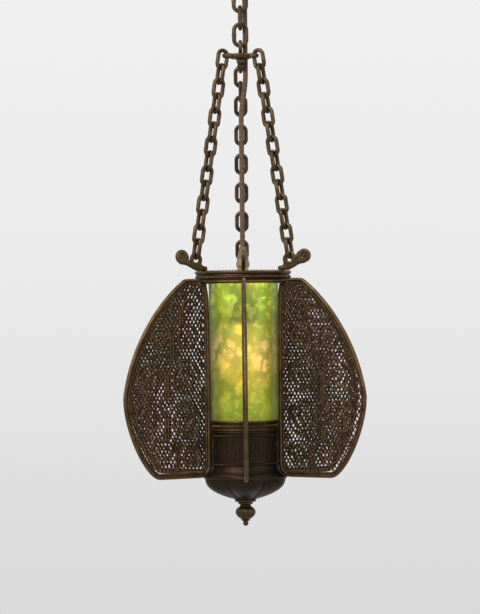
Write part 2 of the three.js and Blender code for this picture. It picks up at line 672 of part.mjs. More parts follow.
function baseBowl() {
  const drum = GLASS_R + GLASS_GAP + BASE_WALL;
  const flareZ = finFootZ + 12;
  const hole = STUD_R + SLIP;
  const belly = new THREE.CubicBezierCurve(
    new THREE.Vector2(BOWL_R, finFootZ - 2),
    new THREE.Vector2(BOWL_R, finFootZ - BOWL_DEPTH * 0.55),
    new THREE.Vector2(BOWL_MOUTH + 18, finFootZ - BOWL_DEPTH * 0.82),
    new THREE.Vector2(BOWL_MOUTH, bowlFootZ),
  ).getPoints(5).map((p) => [p.x, p.y]);
  const outer = [[drum, bowlTopZ], [drum, flareZ], [BOWL_R - 2, finFootZ + 2], ...belly];
  const inner = outer.map(([r, z], i) => [r - BOWL_WALL, z + (i > 2 ? BOWL_WALL : 0)]).reverse();
  const shell = turned([...outer, [hole, bowlFootZ], [hole, bowlFootZ + BOWL_WALL], ...inner], LARGE_ROUND);
  return scallop(shell, finFootZ + 4, BOWL_LOBE);
}

function rosette() {
  const washer = new THREE.Shape();
  const petals = 8;
  for (let i = 0; i < petals; i += 1) {
    const [a, b] = [(2 * Math.PI * i) / petals, (2 * Math.PI * (i + 1)) / petals];
    const mid = (a + b) / 2;
    if (i === 0) washer.moveTo(ROSETTE_R * 0.78, 0);
    washer.quadraticCurveTo(
      ROSETTE_R * 1.22 * Math.cos(mid), ROSETTE_R * 1.22 * Math.sin(mid),
      ROSETTE_R * 0.78 * Math.cos(b), ROSETTE_R * 0.78 * Math.sin(b),
    );
  }
  washer.holes.push(new THREE.Path().absarc(0, 0, STUD_R + SLIP, 0, 2 * Math.PI, true));
  return flatPlate(washer, rosetteTopZ, ROSETTE_THICK, 4);
}

function finial() {
  const h = FINIAL_HEIGHT;
  const topZ = finialTopZ;
  const bore = STUD_R + SLIP;
  return turned([
    [bore, topZ], [FINIAL_R * 0.72, topZ], [FINIAL_R * 0.72, topZ - h * 0.08],
    [FINIAL_R * 0.5, topZ - h * 0.16], [FINIAL_R * 0.86, topZ - h * 0.27],
    [FINIAL_R, topZ - h * 0.42], [FINIAL_R * 0.84, topZ - h * 0.58],
    [FINIAL_R * 0.42, topZ - h * 0.72], [FINIAL_R * 0.4, topZ - h * 0.78], [FINIAL_R * 0.52, topZ - h * 0.87],
    [FINIAL_R * 0.34, topZ - h * 0.96], [0, topZ - h], [0, topZ - h * 0.5], [bore, topZ - h * 0.5],
  ], 24);
}

// Lamp lead: out of the canopy, beside the chain, through the crown's plate and down the middle to the lamp
function lampLead() {
  const [bend, longBend] = [LEAD_BEND, LEAD_LONG_BEND];
  const [a, b] = [LEAD_CANOPY, LEAD_CHAIN];
  const outZ = -CANOPY_DEPTH - 8;
  const crownBendZ = capNutFootZ - 2;
  const route = new THREE.CurvePath();
  const at = (side, z) => new THREE.Vector3(side, side, z);
  route.add(new THREE.LineCurve3(at(a, -CANOPY_DEPTH * 0.35), at(a, outZ)));
  route.add(new THREE.CubicBezierCurve3(
    at(a, outZ), at(a, outZ - bend * 0.4), at(b, outZ - bend * 0.6), at(b, outZ - bend)));
  route.add(new THREE.LineCurve3(at(b, outZ - bend), at(b, crownBendZ)));
  route.add(new THREE.CubicBezierCurve3(
    at(b, crownBendZ), at(b, crownBendZ - longBend * 0.4),
    at(0, crownBendZ - longBend * 0.6), at(0, crownBendZ - longBend)));
  route.add(new THREE.LineCurve3(at(0, crownBendZ - longBend), at(0, capTopZ - 2)));
  const points = [];
  route.curves.forEach((piece) => points.push(...piece.getPoints(piece.isLineCurve3 ? 3 : 7).slice(1)));
  const path = new THREE.CatmullRomCurve3([at(a, -CANOPY_DEPTH * 0.35), ...points], false, 'centripetal');
  return new THREE.ExtrudeGeometry(
    new THREE.Shape(disc(LEAD_R).getPoints(LEAD_SIDES / 2)),
    { steps: 46, extrudePath: path, bevelEnabled: false },
  );
}

// Finishes
const finishes = {
  bronze: { color: 0x3b3024, roughness: 0.55, metalness: 0.85 },
  chain: { color: 0x5a4a38, roughness: 0.5, metalness: 0.85 },
  steel: { color: 0x8d8f92, roughness: 0.45, metalness: 0.9 },
  brass: { color: 0x9a7d46, roughness: 0.4, metalness: 0.9 },
  porcelain: { color: 0x2b2622, roughness: 0.6, metalness: 0 },
  glass: { color: 0xa9a247, roughness: 0.25, metalness: 0 },
  bulb: { color: 0xfff0c8, roughness: 0.2, metalness: 0 },
  lead: { color: 0x5f4a38, roughness: 0.9, metalness: 0 },
};

const lantern = new THREE.Group();

function place(name, geometry, finish, angle = 0) {
  const mesh = new THREE.Mesh(tidy(geometry), new THREE.MeshStandardMaterial(finishes[finish]));
  mesh.name = name;
  mesh.rotation.z = angle;
  lantern.add(mesh);
}

place('mounting_bar', mountingBar(), 'steel');
place('canopy', canopy(), 'bronze');
place('lead_bush', leadBush(), 'porcelain');
place('collar_nut', collarNut(), 'bronze');
place('canopy_loop', canopyLoop(), 'bronze');
for (let i = 0; i < LINK_COUNT; i += 1) place(`chain_link_${i + 1}`, mainLink(i), 'chain');
place('hanger_eye', hangerEye(), 'bronze');
place('hanger_nut', hangerNut(), 'steel');
place('crown', crown(), 'bronze');
spokes(SIDE_CHAINS).forEach((angle, i) => place(`side_chain_${i + 1}`, sideChain(), 'chain', angle));
spokes(FIN_COUNT).forEach((angle, i) => place(`horn_${i + 1}`, horn(), 'bronze', angle));
place('rim_collar', rimCollar(), 'bronze');
spokes(FIN_COUNT).forEach((angle, i) => place(`fin_${i + 1}`, fin(), 'bronze', angle));
place('glass_sleeve', glassSleeve(), 'glass');
place('lamp_spider', lampSpider(), 'steel');
place('lamp_nipple', lampNipple(), 'brass');
place('lock_nut', lockNut(), 'brass');
place('lead_grip', leadGrip(), 'porcelain');
place('holder_cap', holderCap(), 'brass');
place('lampholder', lampholder(), 'porcelain');
place('bulb_base', bulbBase(), 'brass');
place('bulb_envelope', bulbEnvelope(), 'bulb');
place('base_ring', baseRing(), 'bronze');
place('base_stud', baseStud(), 'steel');
place('base_bowl', baseBowl(), 'bronze');
place('rosette', rosette(), 'bronze');
place('finial', finial(), 'bronze');
place('lamp_lead', lampLead(), 'lead');

export default lantern;
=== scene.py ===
"""Looks of a hanging lantern: pierced filigree fins round a lit glass sleeve, on chains."""
import json
import math

import bpy
import numpy as np
from mathutils import Matrix, Vector
from mathutils.geometry import interpolate_bezier


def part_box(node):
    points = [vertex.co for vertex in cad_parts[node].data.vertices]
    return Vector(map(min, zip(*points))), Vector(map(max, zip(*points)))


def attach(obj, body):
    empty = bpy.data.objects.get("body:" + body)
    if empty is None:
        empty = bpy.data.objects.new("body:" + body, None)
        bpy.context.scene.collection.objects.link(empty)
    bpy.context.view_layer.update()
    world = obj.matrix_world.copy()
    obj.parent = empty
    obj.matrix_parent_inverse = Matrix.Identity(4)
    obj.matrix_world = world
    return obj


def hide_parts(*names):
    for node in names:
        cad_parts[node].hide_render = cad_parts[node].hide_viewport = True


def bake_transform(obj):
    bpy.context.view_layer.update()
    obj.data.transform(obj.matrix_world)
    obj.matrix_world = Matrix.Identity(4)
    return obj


bl_info = {
    "name": "Filigree lantern",
    "version": (1, 0, 0),
    "blender": (4, 5, 0),
    "location": "View3D > Sidebar > Lantern",
    "description": "Dresses a hanging lantern: filigree fins, lit glass, chains and lamp",
    "category": "Add Mesh",
}

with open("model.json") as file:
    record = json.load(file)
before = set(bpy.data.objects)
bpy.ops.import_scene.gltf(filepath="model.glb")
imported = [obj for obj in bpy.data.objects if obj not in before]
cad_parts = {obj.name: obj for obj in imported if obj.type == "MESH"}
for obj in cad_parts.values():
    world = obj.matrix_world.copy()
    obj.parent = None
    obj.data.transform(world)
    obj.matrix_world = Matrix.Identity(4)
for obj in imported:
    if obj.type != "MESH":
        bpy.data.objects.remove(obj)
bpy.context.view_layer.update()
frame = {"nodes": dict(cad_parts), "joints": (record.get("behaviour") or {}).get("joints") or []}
MM = 0.001
TURN = 2 * math.pi
FINS = 6
CHAIN_FINS = (2, 4, 6)
FRONT = -math.pi / 2
LEAD_IN_CANOPY = 12.5 * MM   # the lead's place in the canopy, along x and along y
LEAD_BY_CHAIN = 5.8 * MM     # and beside the chain
FIT = 0.3 * MM               # play between the rim collar and a fin, and under the glass
GLASS_BORE = 42.9 * MM       # recess that takes an end of the glass
STUD_BORE = 3.4 * MM         # hole for the base stud
SHELL_STEPS = 128            # faces round the largest turned pieces
MERGE = 1e-6                 # corners closer than this are one
SMOOTH_DEGREES = 35


# Measures of the CAD nodes

def top(node):
    """Highest point of a CAD node."""
    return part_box(node)[1][2]


def foot(node):
    """Lowest point of a CAD node."""
    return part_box(node)[0][2]


def height(node):
    """Height of a CAD node."""
    return top(node) - foot(node)


def radius(node):
    """Half the larger width of a CAD node that is centred on the axis."""
    low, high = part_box(node)
    return max(high[0] - low[0], high[1] - low[1]) / 2


def span(node):
    """Highest point, lowest point and radius of a CAD node."""
    return top(node), foot(node), radius(node)


def fin_angle(number):
    """Direction of a fin or horn, counted from the front."""
    return FRONT + (number - 1) * TURN / FINS


# Sizes and colours that a user would change

def length(name, description, default):
    """A length; its default is in millimetres."""
    return bpy.props.FloatProperty(
        name=name, description=description, default=default * MM, min=0.0, unit="LENGTH")


def number_of(name, description, default, least):
    """A whole number."""
    return bpy.props.IntProperty(name=name, description=description, default=default, min=least)


def colour(name, description, *default):
    """A colour, given as red, green and blue."""
    return bpy.props.FloatVectorProperty(
        name=name, description=description, default=(*default, 1), size=4, min=0.0, max=1.0,
        subtype="COLOR")


class LanternSizes(bpy.types.PropertyGroup):
    """Sizes of the lantern"""
    link_wire: length("Main link wire", "Thickness of the main chain's wire", 5.0)
    side_wire: length("Side link wire", "Thickness of the side chains' wire", 5.0)
    side_width: length("Side link width", "Width of a side chain's link", 17)
    side_links: number_of("Side links", "Links in each side chain", 14, 2)
    chain_head: length("Chain head", "Radius at which the side chains leave the crown", 23.5)
    chain_foot: length("Chain foot", "Radius at which they meet the horns", 64.7)
    fin_neck: length("Fin neck", "Radius of a fin's top outer corner", 80)
    fin_foot_in: length("Fin foot, inside", "Radius where a fin's flat foot starts", 62)
    fin_foot_out: length("Fin foot, outside", "Radius where a fin's flat foot ends", 116)
    fin_widest: length("Fin widest point", "Depth of its widest point under the rim collar", 134)
    fin_bar: length("Fin bar", "Thickness of the round bar that frames a fin", 4.9)
    fin_frame: length("Fin border", "Width of a fin's border round the openwork", 7)
    strand: length("Strand", "Thickness of one strand of the twisted wire", 1.7)
    scroll_pitch: length("Scroll pitch", "From one turn of a large scroll to the next", 7)
    fine_wire: length("Fine wire", "Thickness of the plain wire between the scrolls", 1.4)
    mesh_wire: length("Mesh wire", "Thickness of the crossed wires behind the scrolls", 1.65)
    mesh_width: length("Mesh width", "Width of one opening of the crossed wires", 5)
    mesh_height: length("Mesh height", "Height of one opening of the crossed wires", 8.5)
    lay: length("Lay of the twist", "Length of one turn of the twisted wire", 4.6)
    lead: length("Lamp lead", "Thickness of the lamp lead", 6)
    flute_count: number_of("Finial flutes", "Flutes round the finial", 12, 3)


class LanternColours(bpy.types.PropertyGroup):
    """Colours of the lantern"""
    bronze: colour("Bronze", "Dark patina of the fins and mountings", 0.061, 0.032, 0.012)
    bronze_worn: colour("Worn bronze", "Rubbed edges and high spots", 0.17, 0.102, 0.042)
    # Darker bronze, painted shade: on the mesh behind the scrolls and on the bowl under the fins.
    bronze_shaded: colour("Shaded bronze", "Mesh behind the scrolls", 0.030, 0.017, 0.008)
    verdigris: colour("Verdigris", "Green film in the recesses", 0.028, 0.034, 0.018)
    chain: colour("Chain", "Brown patina of the chains", 0.040, 0.023, 0.010)
    chain_worn: colour("Worn chain", "Rubbed spots of the chains", 0.13, 0.080, 0.036)
    glass_leaf: colour("Glass green", "Green of the glass, at its head", 0.78, 0.94, 0.15)
    glass_olive: colour("Glass olive", "Between the green and the amber", 0.52, 0.53, 0.09)
    # Amber and pale: the bulb's painted glow on the glass, over amber glass. The dark foot: painted
    # shade below the bulb.
    glass_amber: colour("Glass amber", "Amber of the glass over the bulb", 0.56, 0.42, 0.085)
    glass_pale: colour("Glass pale", "Palest patches over the bulb", 0.76, 0.59, 0.28)
    glass_foot: colour("Glass foot", "Dark green at the foot of the glass", 0.22, 0.24, 0.025)
    glass_vein: colour("Glass vein", "Dark veins in the glass", 0.16, 0.22, 0.03)
    brass: colour("Brass", "Lamp fittings", 0.50, 0.34, 0.13)
    steel: colour("Steel", "Spider, nuts and stud", 0.13, 0.122, 0.11)
    holder: colour("Lampholder", "Matt black lampholder", 0.018, 0.015, 0.013)
    grip: colour("Lead grip", "Brown moulding that grips the lead", 0.24, 0.155, 0.09)
    fabric: colour("Lead sleeve", "Braided brown sleeve of the lead", 0.19, 0.10, 0.052)
    fabric_fleck: colour("Lead fleck", "Lighter yarn in the braid", 0.26, 0.15, 0.085)
    bulb: colour("Bulb", "Warm light of the bulb", 1.0, 0.72, 0.36)


def sizes():
    """The sizes as set in the panel."""
    return bpy.context.scene.lantern_sizes


def shade(name):
    """A colour as set in the panel."""
    return tuple(getattr(bpy.context.scene.lantern_colours, name))


def toned(base, share, lift=0.0):
    """A lighter or darker tone of a colour."""
    return [c * share + lift for c in base[:3]] + [1]


# Materials

class Nodes:
    """The node tree of a material or world, with short calls for its nodes."""

    def __init__(self, owner):
        owner.use_nodes = True
        self.owner = owner
        self.tree = owner.node_tree
        self.shader = self.tree.nodes.get("Principled BSDF")

    def plug(self, socket, value):
        """Links a socket to another node's output, or sets its value."""
        if isinstance(value, bpy.types.NodeSocket):
            self.tree.links.new(value, socket)
        else:
            socket.default_value = value

    def add(self, kind, inputs=None, **settings):
        """A new node, with a value or another node's output for each socket named in inputs."""
        node = self.tree.nodes.new("ShaderNode" + kind)
        for key, value in settings.items():
            setattr(node, key, value)
        for socket, value in (inputs or {}).items():
            self.plug(node.inputs[socket], value)
        return node

    def place(self, scale=(1, 1, 1), kind="Object"):
        """Coordinates on the piece, stretched by scale."""
        spot = self.add("TexCoord").outputs[kind]
        return self.add("Mapping", {"Vector": spot, "Scale": scale}).outputs["Vector"]

    def noise(self, vector, scale, detail=4.0):
        """A value that drifts over the piece."""
        inputs = {"Vector": vector, "Scale": scale, "Detail": detail, "Roughness": 0.55}
        return self.add("TexNoise", inputs).outputs["Fac"]

    def ramp(self, source, *stops):
        """Maps a value to greys or colours at the given places."""
        node = self.add("ValToRGB", {"Fac": source})
        ramp = node.color_ramp
        while len(ramp.elements) < len(stops):
            ramp.elements.new(0.5)
        for element, (place, tone) in zip(ramp.elements, stops):
            element.position = place
            element.color = tone if hasattr(tone, "__len__") else (tone, tone, tone, 1)
        return node.outputs["Color"]

    def mix(self, share, first, second, blend="MIX"):
        """Mixes two colours; the numbers are the colour sockets of the node."""
        inputs = {0: share, 6: first, 7: second}
        return self.add("Mix", inputs, data_type="RGBA", blend_type=blend).outputs[2]

    def maths(self, operation, first, second=0.0):
        """One step of arithmetic."""
        return self.add("Math", {0: first, 1: second}, operation=operation).outputs[0]

    def axes(self, vector):
        """The vector's X, Y and Z."""
        return self.add("SeparateXYZ", {0: vector}).outputs

    def climb(self, low, high):
        """Share of the way up from one height to another, on the piece."""
        above = self.maths("SUBTRACT", self.axes(self.place())["Z"], low)
        return self.maths("DIVIDE", above, high - low)

    def bump(self, source, strength, distance):
        """Roughens the surface by a value."""
        inputs = {"Height": source, "Strength": strength, "Distance": distance}
        self.set(Normal=self.add("Bump", inputs).outputs["Normal"])

    def set(self, **values):
        """Sets or links the shader's sockets."""
        for name, value in values.items():
            self.plug(self.shader.inputs[name.replace("_", " ")], value)


def new_material(name):
    """The node tree of a new material."""
    return Nodes(bpy.data.materials.new(name))


def patina(name, base, worn, film):
    """Old metal: cloudy patina, rubbed high spots and a film in the recesses."""
    m = new_material(name)
    spot = m.place()
    grain = m.noise(spot, scale=520.0, detail=3.0)
    edge = m.ramp(m.add("NewGeometry").outputs["Pointiness"], (0.495, 0.0), (0.56, 1.0))
    rubbed = m.maths("MULTIPLY", edge, m.ramp(m.noise(spot, scale=90.0), (0.35, 0.25), (0.7, 1.0)))
    cloud = m.ramp(m.noise(spot, scale=38.0, detail=5.0), (0.35, 0.0), (0.7, 1.0))
    damp = m.ramp(m.noise(spot, scale=24.0, detail=6.0), (0.56, 0.0), (0.72, 0.6))
    tint = m.mix(damp, m.mix(cloud, base, toned(base, 0.62)), film)
    m.set(Base_Color=m.mix(rubbed, tint, worn), Metallic=0.82,
          Roughness=m.ramp(grain, (0.3, 0.36), (0.75, 0.62)))
    m.bump(grain, strength=0.25, distance=0.4 * MM)
    return m.owner


def lit_glass(name):
    """Thick mottled glass round a lamp: green head, amber glass with the bulb's painted glow and
    pale painted hot spots over it, a foot darkened by painted shade below the bulb, veins; its
    emission is a painted glow of the bulb.
    """
    m = new_material(name)
    spot = m.place()
    share = m.climb(foot("glass_sleeve"), top("glass_sleeve"))
    cloud = m.noise(m.place((1, 1, 0.6)), scale=34.0)
    drift = m.maths("MULTIPLY", m.maths("SUBTRACT", cloud, 0.5), 0.42)
    # Up the glass: painted shade at the dark foot, then the bulb's painted glow in amber and pale
    # patches, then olive and the glass's own green.
    tint = m.ramp(m.maths("ADD", share, drift), (0.0, shade("glass_foot")),
                  (0.15, shade("glass_olive")), (0.32, shade("glass_amber")),
                  (0.54, shade("glass_pale")), (0.72, shade("glass_olive")),
                  (0.85, shade("glass_leaf")))
    stir = m.add("TexNoise", {"Vector": spot, "Scale": 70.0}).outputs["Color"]
    wobble = m.add("Mix", {0: 0.03, 4: spot, 5: stir}, data_type="VECTOR").outputs[1]
    cell = m.add("TexVoronoi", {"Vector": wobble, "Scale": 85.0}, feature="SMOOTH_F1")
    veins = m.ramp(cell.outputs["Distance"], (0.24, 0.0), (0.44, 0.7))
    tint = m.mix(veins, tint, shade("glass_vein"))
    blotch = m.noise(m.place((1, 1, 0.5)), scale=55.0, detail=3.0)
    tint = m.mix(m.ramp(blotch, (0.42, 0.0), (0.68, 0.55)), tint, shade("glass_olive"))
    # Darker where the glass is seen slanting and thick; this also dims the painted glow towards the
    # edges.
    slant = m.add("LayerWeight", {"Blend": 0.5}).outputs["Facing"]
    deep = m.ramp(slant, (0.06, 1.0), (0.22, 0.82), (0.40, 0.50), (0.68, 0.20))
    tint = m.mix(1.0, tint, deep, "MULTIPLY")
    # The emission is a painted glow: the glass shines with its tint as if lit by the bulb inside
    # it.
    m.set(Base_Color=tint, Emission_Color=tint, Emission_Strength=0.36, Transmission_Weight=1.0,
          Roughness=0.36, IOR=1.35, Specular_IOR_Level=0.15, Coat_Weight=0.05, Coat_Roughness=0.1)
    relief = m.mix(0.5, cell.outputs["Distance"], m.noise(spot, scale=150.0))
    m.bump(relief, strength=0.4, distance=1.2 * MM)
    return m.owner


def glowing_bulb(name, glow):
    """Frosted bulb, glowing evenly."""
    m = new_material(name)
    frost = m.noise(m.place(), scale=900.0, detail=2.0)
    m.set(Base_Color=m.mix(m.ramp(frost, (0.3, 0.0), (0.7, 0.12)), glow, (1, 1, 1, 1)),
          Roughness=m.ramp(frost, (0.3, 0.3), (0.7, 0.45)),
          Emission_Color=m.mix(m.ramp(frost, (0.3, 0.0), (0.7, 0.2)), glow, (1, 0.9, 0.7, 1)),
          Emission_Strength=0.7)
    return m.owner


def turned_metal(name, base, roughness):
    """Bright fittings: fine turning marks and slight tarnish."""
    m = new_material(name)
    marks = m.noise(m.place((40, 40, 2600)), scale=1.0, detail=2.0)
    tarnish = m.ramp(m.noise(m.place(), scale=60.0, detail=5.0), (0.42, 0.0), (0.75, 0.8))
    m.set(Base_Color=m.mix(tarnish, base, toned(base, 0.45)), Metallic=0.95,
          Roughness=m.ramp(marks, (0.3, roughness), (0.7, roughness + 0.18)))
    m.bump(marks, strength=0.12, distance=0.3 * MM)
    return m.owner


def moulded(name, base):
    """Matt moulded plastic with a faint grain."""
    m = new_material(name)
    grain = m.noise(m.place(), scale=1400.0, detail=2.0)
    cloud = m.ramp(m.noise(m.place(), scale=80.0), (0.4, 0.0), (0.8, 0.5))
    m.set(Base_Color=m.mix(cloud, base, toned(base, 1.8, 0.004)),
          Roughness=m.ramp(grain, (0.3, 0.42), (0.7, 0.6)))
    m.bump(grain, strength=0.15, distance=0.2 * MM)
    return m.owner


def braided(name, base, fleck):
    """Woven sleeve: two sets of yarns crossing round the lead, from its UV map."""
    m = new_material(name)
    u, v, _ = m.axes(m.place(kind="UV"))
    yarns, stripes = TURN * 6, TURN * 1.5
    right = m.maths("SINE", m.maths("MULTIPLY", m.maths("ADD", u, v), yarns))
    left = m.maths("SINE", m.maths("MULTIPLY", m.maths("SUBTRACT", u, v), yarns))
    weave = m.maths("MULTIPLY", right, left)
    yarn = m.maths("ADD", m.maths("MULTIPLY", weave, 0.5), 0.5)
    fuzz = m.noise(m.place(), scale=2600.0, detail=2.0)
    tint = m.mix(m.ramp(yarn, (0.2, 0.0), (0.75, 1.0)), toned(base, 0.45), base)
    stripe = m.maths("SINE", m.maths("MULTIPLY", v, stripes))
    flecks = m.ramp(m.maths("MULTIPLY", right, stripe), (0.62, 0.0), (0.85, 0.85))
    m.set(Base_Color=m.mix(flecks, tint, fleck), Sheen_Weight=0.2,
          Roughness=m.ramp(fuzz, (0.3, 0.78), (0.7, 0.95)))
    m.bump(m.mix(0.25, yarn, fuzz), strength=0.6, distance=0.6 * MM)
    return m.owner


# Each finish: its slot, the function that makes it, its name, and its colours and numbers
FINISHES = {
    "bronze": ("dark_bronze", patina, "dark_bronze", "bronze", "bronze_worn", "verdigris"),
    # Bronze darkened as painted shade, with plain bronze on its rubbed edges.
    "painted_shade": ("dark_bronze", patina, "shaded_bronze", "bronze_shaded", "bronze", "verdigris"),
    "chain": ("chain_bronze", patina, "chain_bronze", "chain", "chain_worn", "bronze"),
    "glass": ("lit_glass", lit_glass, "lit_glass"),
    "bulb": ("bulb_glass", glowing_bulb, "bulb_glass", "bulb"),
    "brass": ("lamp_brass", turned_metal, "lamp_brass", "brass", 0.3),
    "steel": ("steel", turned_metal, "dull_steel", "steel", 0.38),
    "holder": ("holder_plastic", moulded, "black_holder", "holder"),
    "grip": ("holder_plastic", moulded, "brown_grip", "grip"),
    "fabric": ("lead_fabric", braided, "lead_sleeve", "fabric", "fabric_fleck"),
}
MATERIALS = {}


def material(finish):
    """The material of a finish, made the first time it is asked for."""
    if finish not in MATERIALS:
        _, make, name, *values = FINISHES[finish]
        values = [shade(v) if isinstance(v, str) else v for v in values]
        MATERIALS[finish] = make(name, *values)
    return MATERIALS[finish]


# Modelling helpers

def clear_selection():
    """Object mode, with nothing selected."""
    if bpy.context.mode != "OBJECT":
        bpy.ops.object.mode_set(mode="OBJECT")
    bpy.ops.object.select_all(action="DESELECT")


def activate(*objects):
    """Selects the objects alone and makes the first one active."""
    clear_selection()
    for obj in objects:
        obj.select_set(True)
    bpy.context.view_layer.objects.active = objects[0]


def linked(name, data):
    """A new object in the scene."""
    obj = bpy.data.objects.new(name, data)
    bpy.context.collection.objects.link(obj)
    return obj


def settle(obj):
    """Puts the object's place, turn and scale into its mesh."""
    obj.data.transform(obj.matrix_world)
    obj.matrix_world = Matrix.Identity(4)
    return obj


def lifted(obj, z):
    """The object moved up by z."""
    obj.data.transform(Matrix.Translation((0, 0, z)))
    return obj


def painted(obj, finish):
    """The object in one finish."""
    obj.data.materials.clear()
    obj.data.materials.append(material(finish))
    return obj


def repaint(finish, *nodes):
    """Gives CAD nodes that stay in view their finish."""
    for node in nodes:
        painted(frame["nodes"][node], finish)


def piece(obj, name, finish, body, *nodes):
    """Names and paints a finished object, and puts it on its body, if any, for the CAD nodes."""
    settle(obj)
    obj.name = name
    obj.data.name = name
    painted(obj, finish)
    if body:
        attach(obj, body)
    if nodes:
        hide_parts(*nodes)
    return obj


def smooth(obj, degrees=SMOOTH_DEGREES):
    """The object with its sharper edges left sharp."""
    activate(obj)
    bpy.ops.object.shade_smooth_by_angle(angle=math.radians(degrees))
    return obj


def sealed(obj, degrees=SMOOTH_DEGREES):
    """The object with coincident corners merged, its faces outwards and its shading smooth."""
    activate(obj)
    bpy.ops.object.mode_set(mode="EDIT")
    bpy.ops.mesh.select_all(action="SELECT")
    bpy.ops.mesh.remove_doubles(threshold=MERGE)
    bpy.ops.mesh.normals_make_consistent(inside=False)
    bpy.ops.object.mode_set(mode="OBJECT")
    return smooth(obj, degrees)


def meshed(curve):
    """The mesh of a curve."""
    activate(linked(curve.name, curve))
    bpy.ops.object.convert(target="MESH")
    return bpy.context.object


def joined(*objects):
    """One object from several."""
    for obj in objects:
        settle(obj)
    if len(objects) > 1:
        activate(*objects)
        bpy.ops.object.join()
    return objects[0]


def around(model, finish, name, node, fins):
    """Copies of a model at the given fins, each a piece on the lantern; the model is removed."""
    for number, fin in enumerate(fins, 1):
        twin = model.copy()
        twin.data = model.data.copy()
        bpy.context.collection.objects.link(twin)
        twin.data.transform(Matrix.Rotation(fin_angle(fin), 4, "Z"))
        piece(twin, f"{name}_{number}", finish, "lantern", node.format(number))
    bpy.data.objects.remove(model)


def turned(profile, steps=96, degrees=SMOOTH_DEGREES):
    """Spins a closed profile of radius and height round the axis, without its edges on the axis."""
    clear_selection()
    bpy.ops.mesh.primitive_circle_add(vertices=len(profile), radius=0.01)
    obj = bpy.context.object
    for vertex, (r, z) in zip(obj.data.vertices, profile):
        vertex.co = (r, 0, z)
    for edge in obj.data.edges:
        edge.select = all(abs(obj.data.vertices[i].co.x) < 1e-7 for i in edge.vertices)
    for vertex in obj.data.vertices:
        vertex.select = False
    bpy.ops.object.mode_set(mode="EDIT")
    bpy.ops.mesh.select_mode(type="EDGE")
    if any(edge.select for edge in obj.data.edges):
        bpy.ops.mesh.delete(type="EDGE")
    bpy.ops.mesh.select_mode(type="VERT")
    bpy.ops.mesh.select_all(action="SELECT")
    bpy.ops.mesh.spin(steps=steps, angle=TURN, center=(0, 0, 0), axis=(0, 0, 1))
    return sealed(obj, degrees)


def reshaped(obj, share):
    """Scales each corner's distance from the axis by share(distance, turn, height)."""
    for vertex in obj.data.vertices:
        x, y, z = vertex.co
        part = share(math.hypot(x, y), math.atan2(y, x), z)
        vertex.co.x, vertex.co.y = x * part, y * part
    return obj


def near(r, z, *offsets):
    """Points of a profile, given by their offsets from (r, z) in millimetres."""
    return [(r + dr * MM, z + dz * MM) for dr, dz in offsets]


def arc(r, z, size, start, stop, steps=6):
    """Points of an arc in a profile, in degrees."""
    turns = [math.radians(start + (stop - start) * i / steps) for i in range(steps + 1)]
    return [(r + size * math.cos(t), z + size * math.sin(t)) for t in turns]


def circle(x, y, size, steps=24):
    """Points of a circle in x and y."""
    turns = [TURN * i / steps for i in range(steps)]
    return [(x + size * math.cos(t), y + size * math.sin(t)) for t in turns]


def bezier(*corners, steps=12):
    """Points of a cubic curve given by its four corners in x and y."""
    start, first, second, end = (Vector((x, y, 0)) for x, y in corners)
    return [(p.x, p.y) for p in interpolate_bezier(start, first, second, end, steps)]


def upright(points, y=0.0):
    """Points in x and z, set in the upright plane at y."""
    points = np.asarray(points)
    return np.c_[points[:, 0], np.full(len(points), y), points[:, 1]]


def swung(points, turn):
    """Points of a profile in the upright plane that a turn about the axis leads to."""
    return np.array([(r * math.cos(turn), r * math.sin(turn), z) for r, z in points])


def unit(vectors):
    """The vectors, each made one long."""
    return vectors / np.linalg.norm(vectors, axis=1)[:, None]


def wires(paths, thickness, sides=1):
    """Round wires along many paths, as one mesh. Each path is (points, closed)."""
    curve = bpy.data.curves.new("wires", "CURVE")
    curve.dimensions = "3D"
    curve.bevel_depth = thickness / 2
    curve.bevel_resolution = sides
    curve.use_fill_caps = True
    for points, closed in paths:
        spline = curve.splines.new("POLY")
        spline.points.add(len(points) - 1)
        spline.points.foreach_set("co", np.c_[points, np.ones(len(points))].ravel())
        spline.use_cyclic_u = closed
        spline.use_smooth = True
    obj = meshed(curve)
    bpy.ops.object.shade_smooth()
    return obj


def resampled(points, step, closed=False):
    """The path with points at equal steps, the distance of each along it, and its length."""
    points = np.asarray(points, float)
    if closed:
        points = np.vstack([points, points[:1]])
    run = np.r_[0, np.cumsum(np.linalg.norm(np.diff(points, axis=0), axis=1))]
    count = max(3, int(round(run[-1] / step)))
    marks = np.linspace(0, run[-1], count + 1)
    if closed:
        marks = marks[:-1]
    return np.c_[tuple(np.interp(marks, run, points[:, k]) for k in range(3))], marks, run[-1]


def twisted(points, closed, normal=(0, 1, 0)):
    """Paths of two strands that wind round a path lying square to normal."""
    s = sizes()
    steps_a_turn = 6
    base, marks, whole = resampled(points, s.lay / steps_a_turn, closed)
    turns = max(1, round(whole / s.lay))
    ahead = np.roll(base, -1, 0) - np.roll(base, 1, 0) if closed else np.gradient(base, axis=0)
    up = np.broadcast_to(np.array(normal, float), base.shape)
    side = np.cross(up, unit(ahead))
    phase = TURN * turns * marks / whole
    off = s.strand * 0.46
    strands = []
    for start in (0, math.pi):
        swing = np.cos(phase + start)[:, None] * side + np.sin(phase + start)[:, None] * up
        strands.append((base + off * swing, closed))
    return strands


def ring_path(r, z, steps=180):
    """Points of a level ring round the axis."""
    turns = np.linspace(0, TURN, steps, endpoint=False)
    return np.c_[r * np.cos(turns), r * np.sin(turns), np.full(steps, z)]


def rope_ring(r, z):
    """A ring of twisted wire round the axis."""
    return wires(twisted(ring_path(r, z), True, (0, 0, 1)), sizes().strand)


def ring_eye(size, centre, wire, order):
    """A round wire eye on the axis; order says which of the ring's axes go to x, y and z."""
    hoop = ring_path(size, 0, 48)[:, order] + np.array([0, 0, centre])
    return wires([(hoop, True)], wire, sides=4)


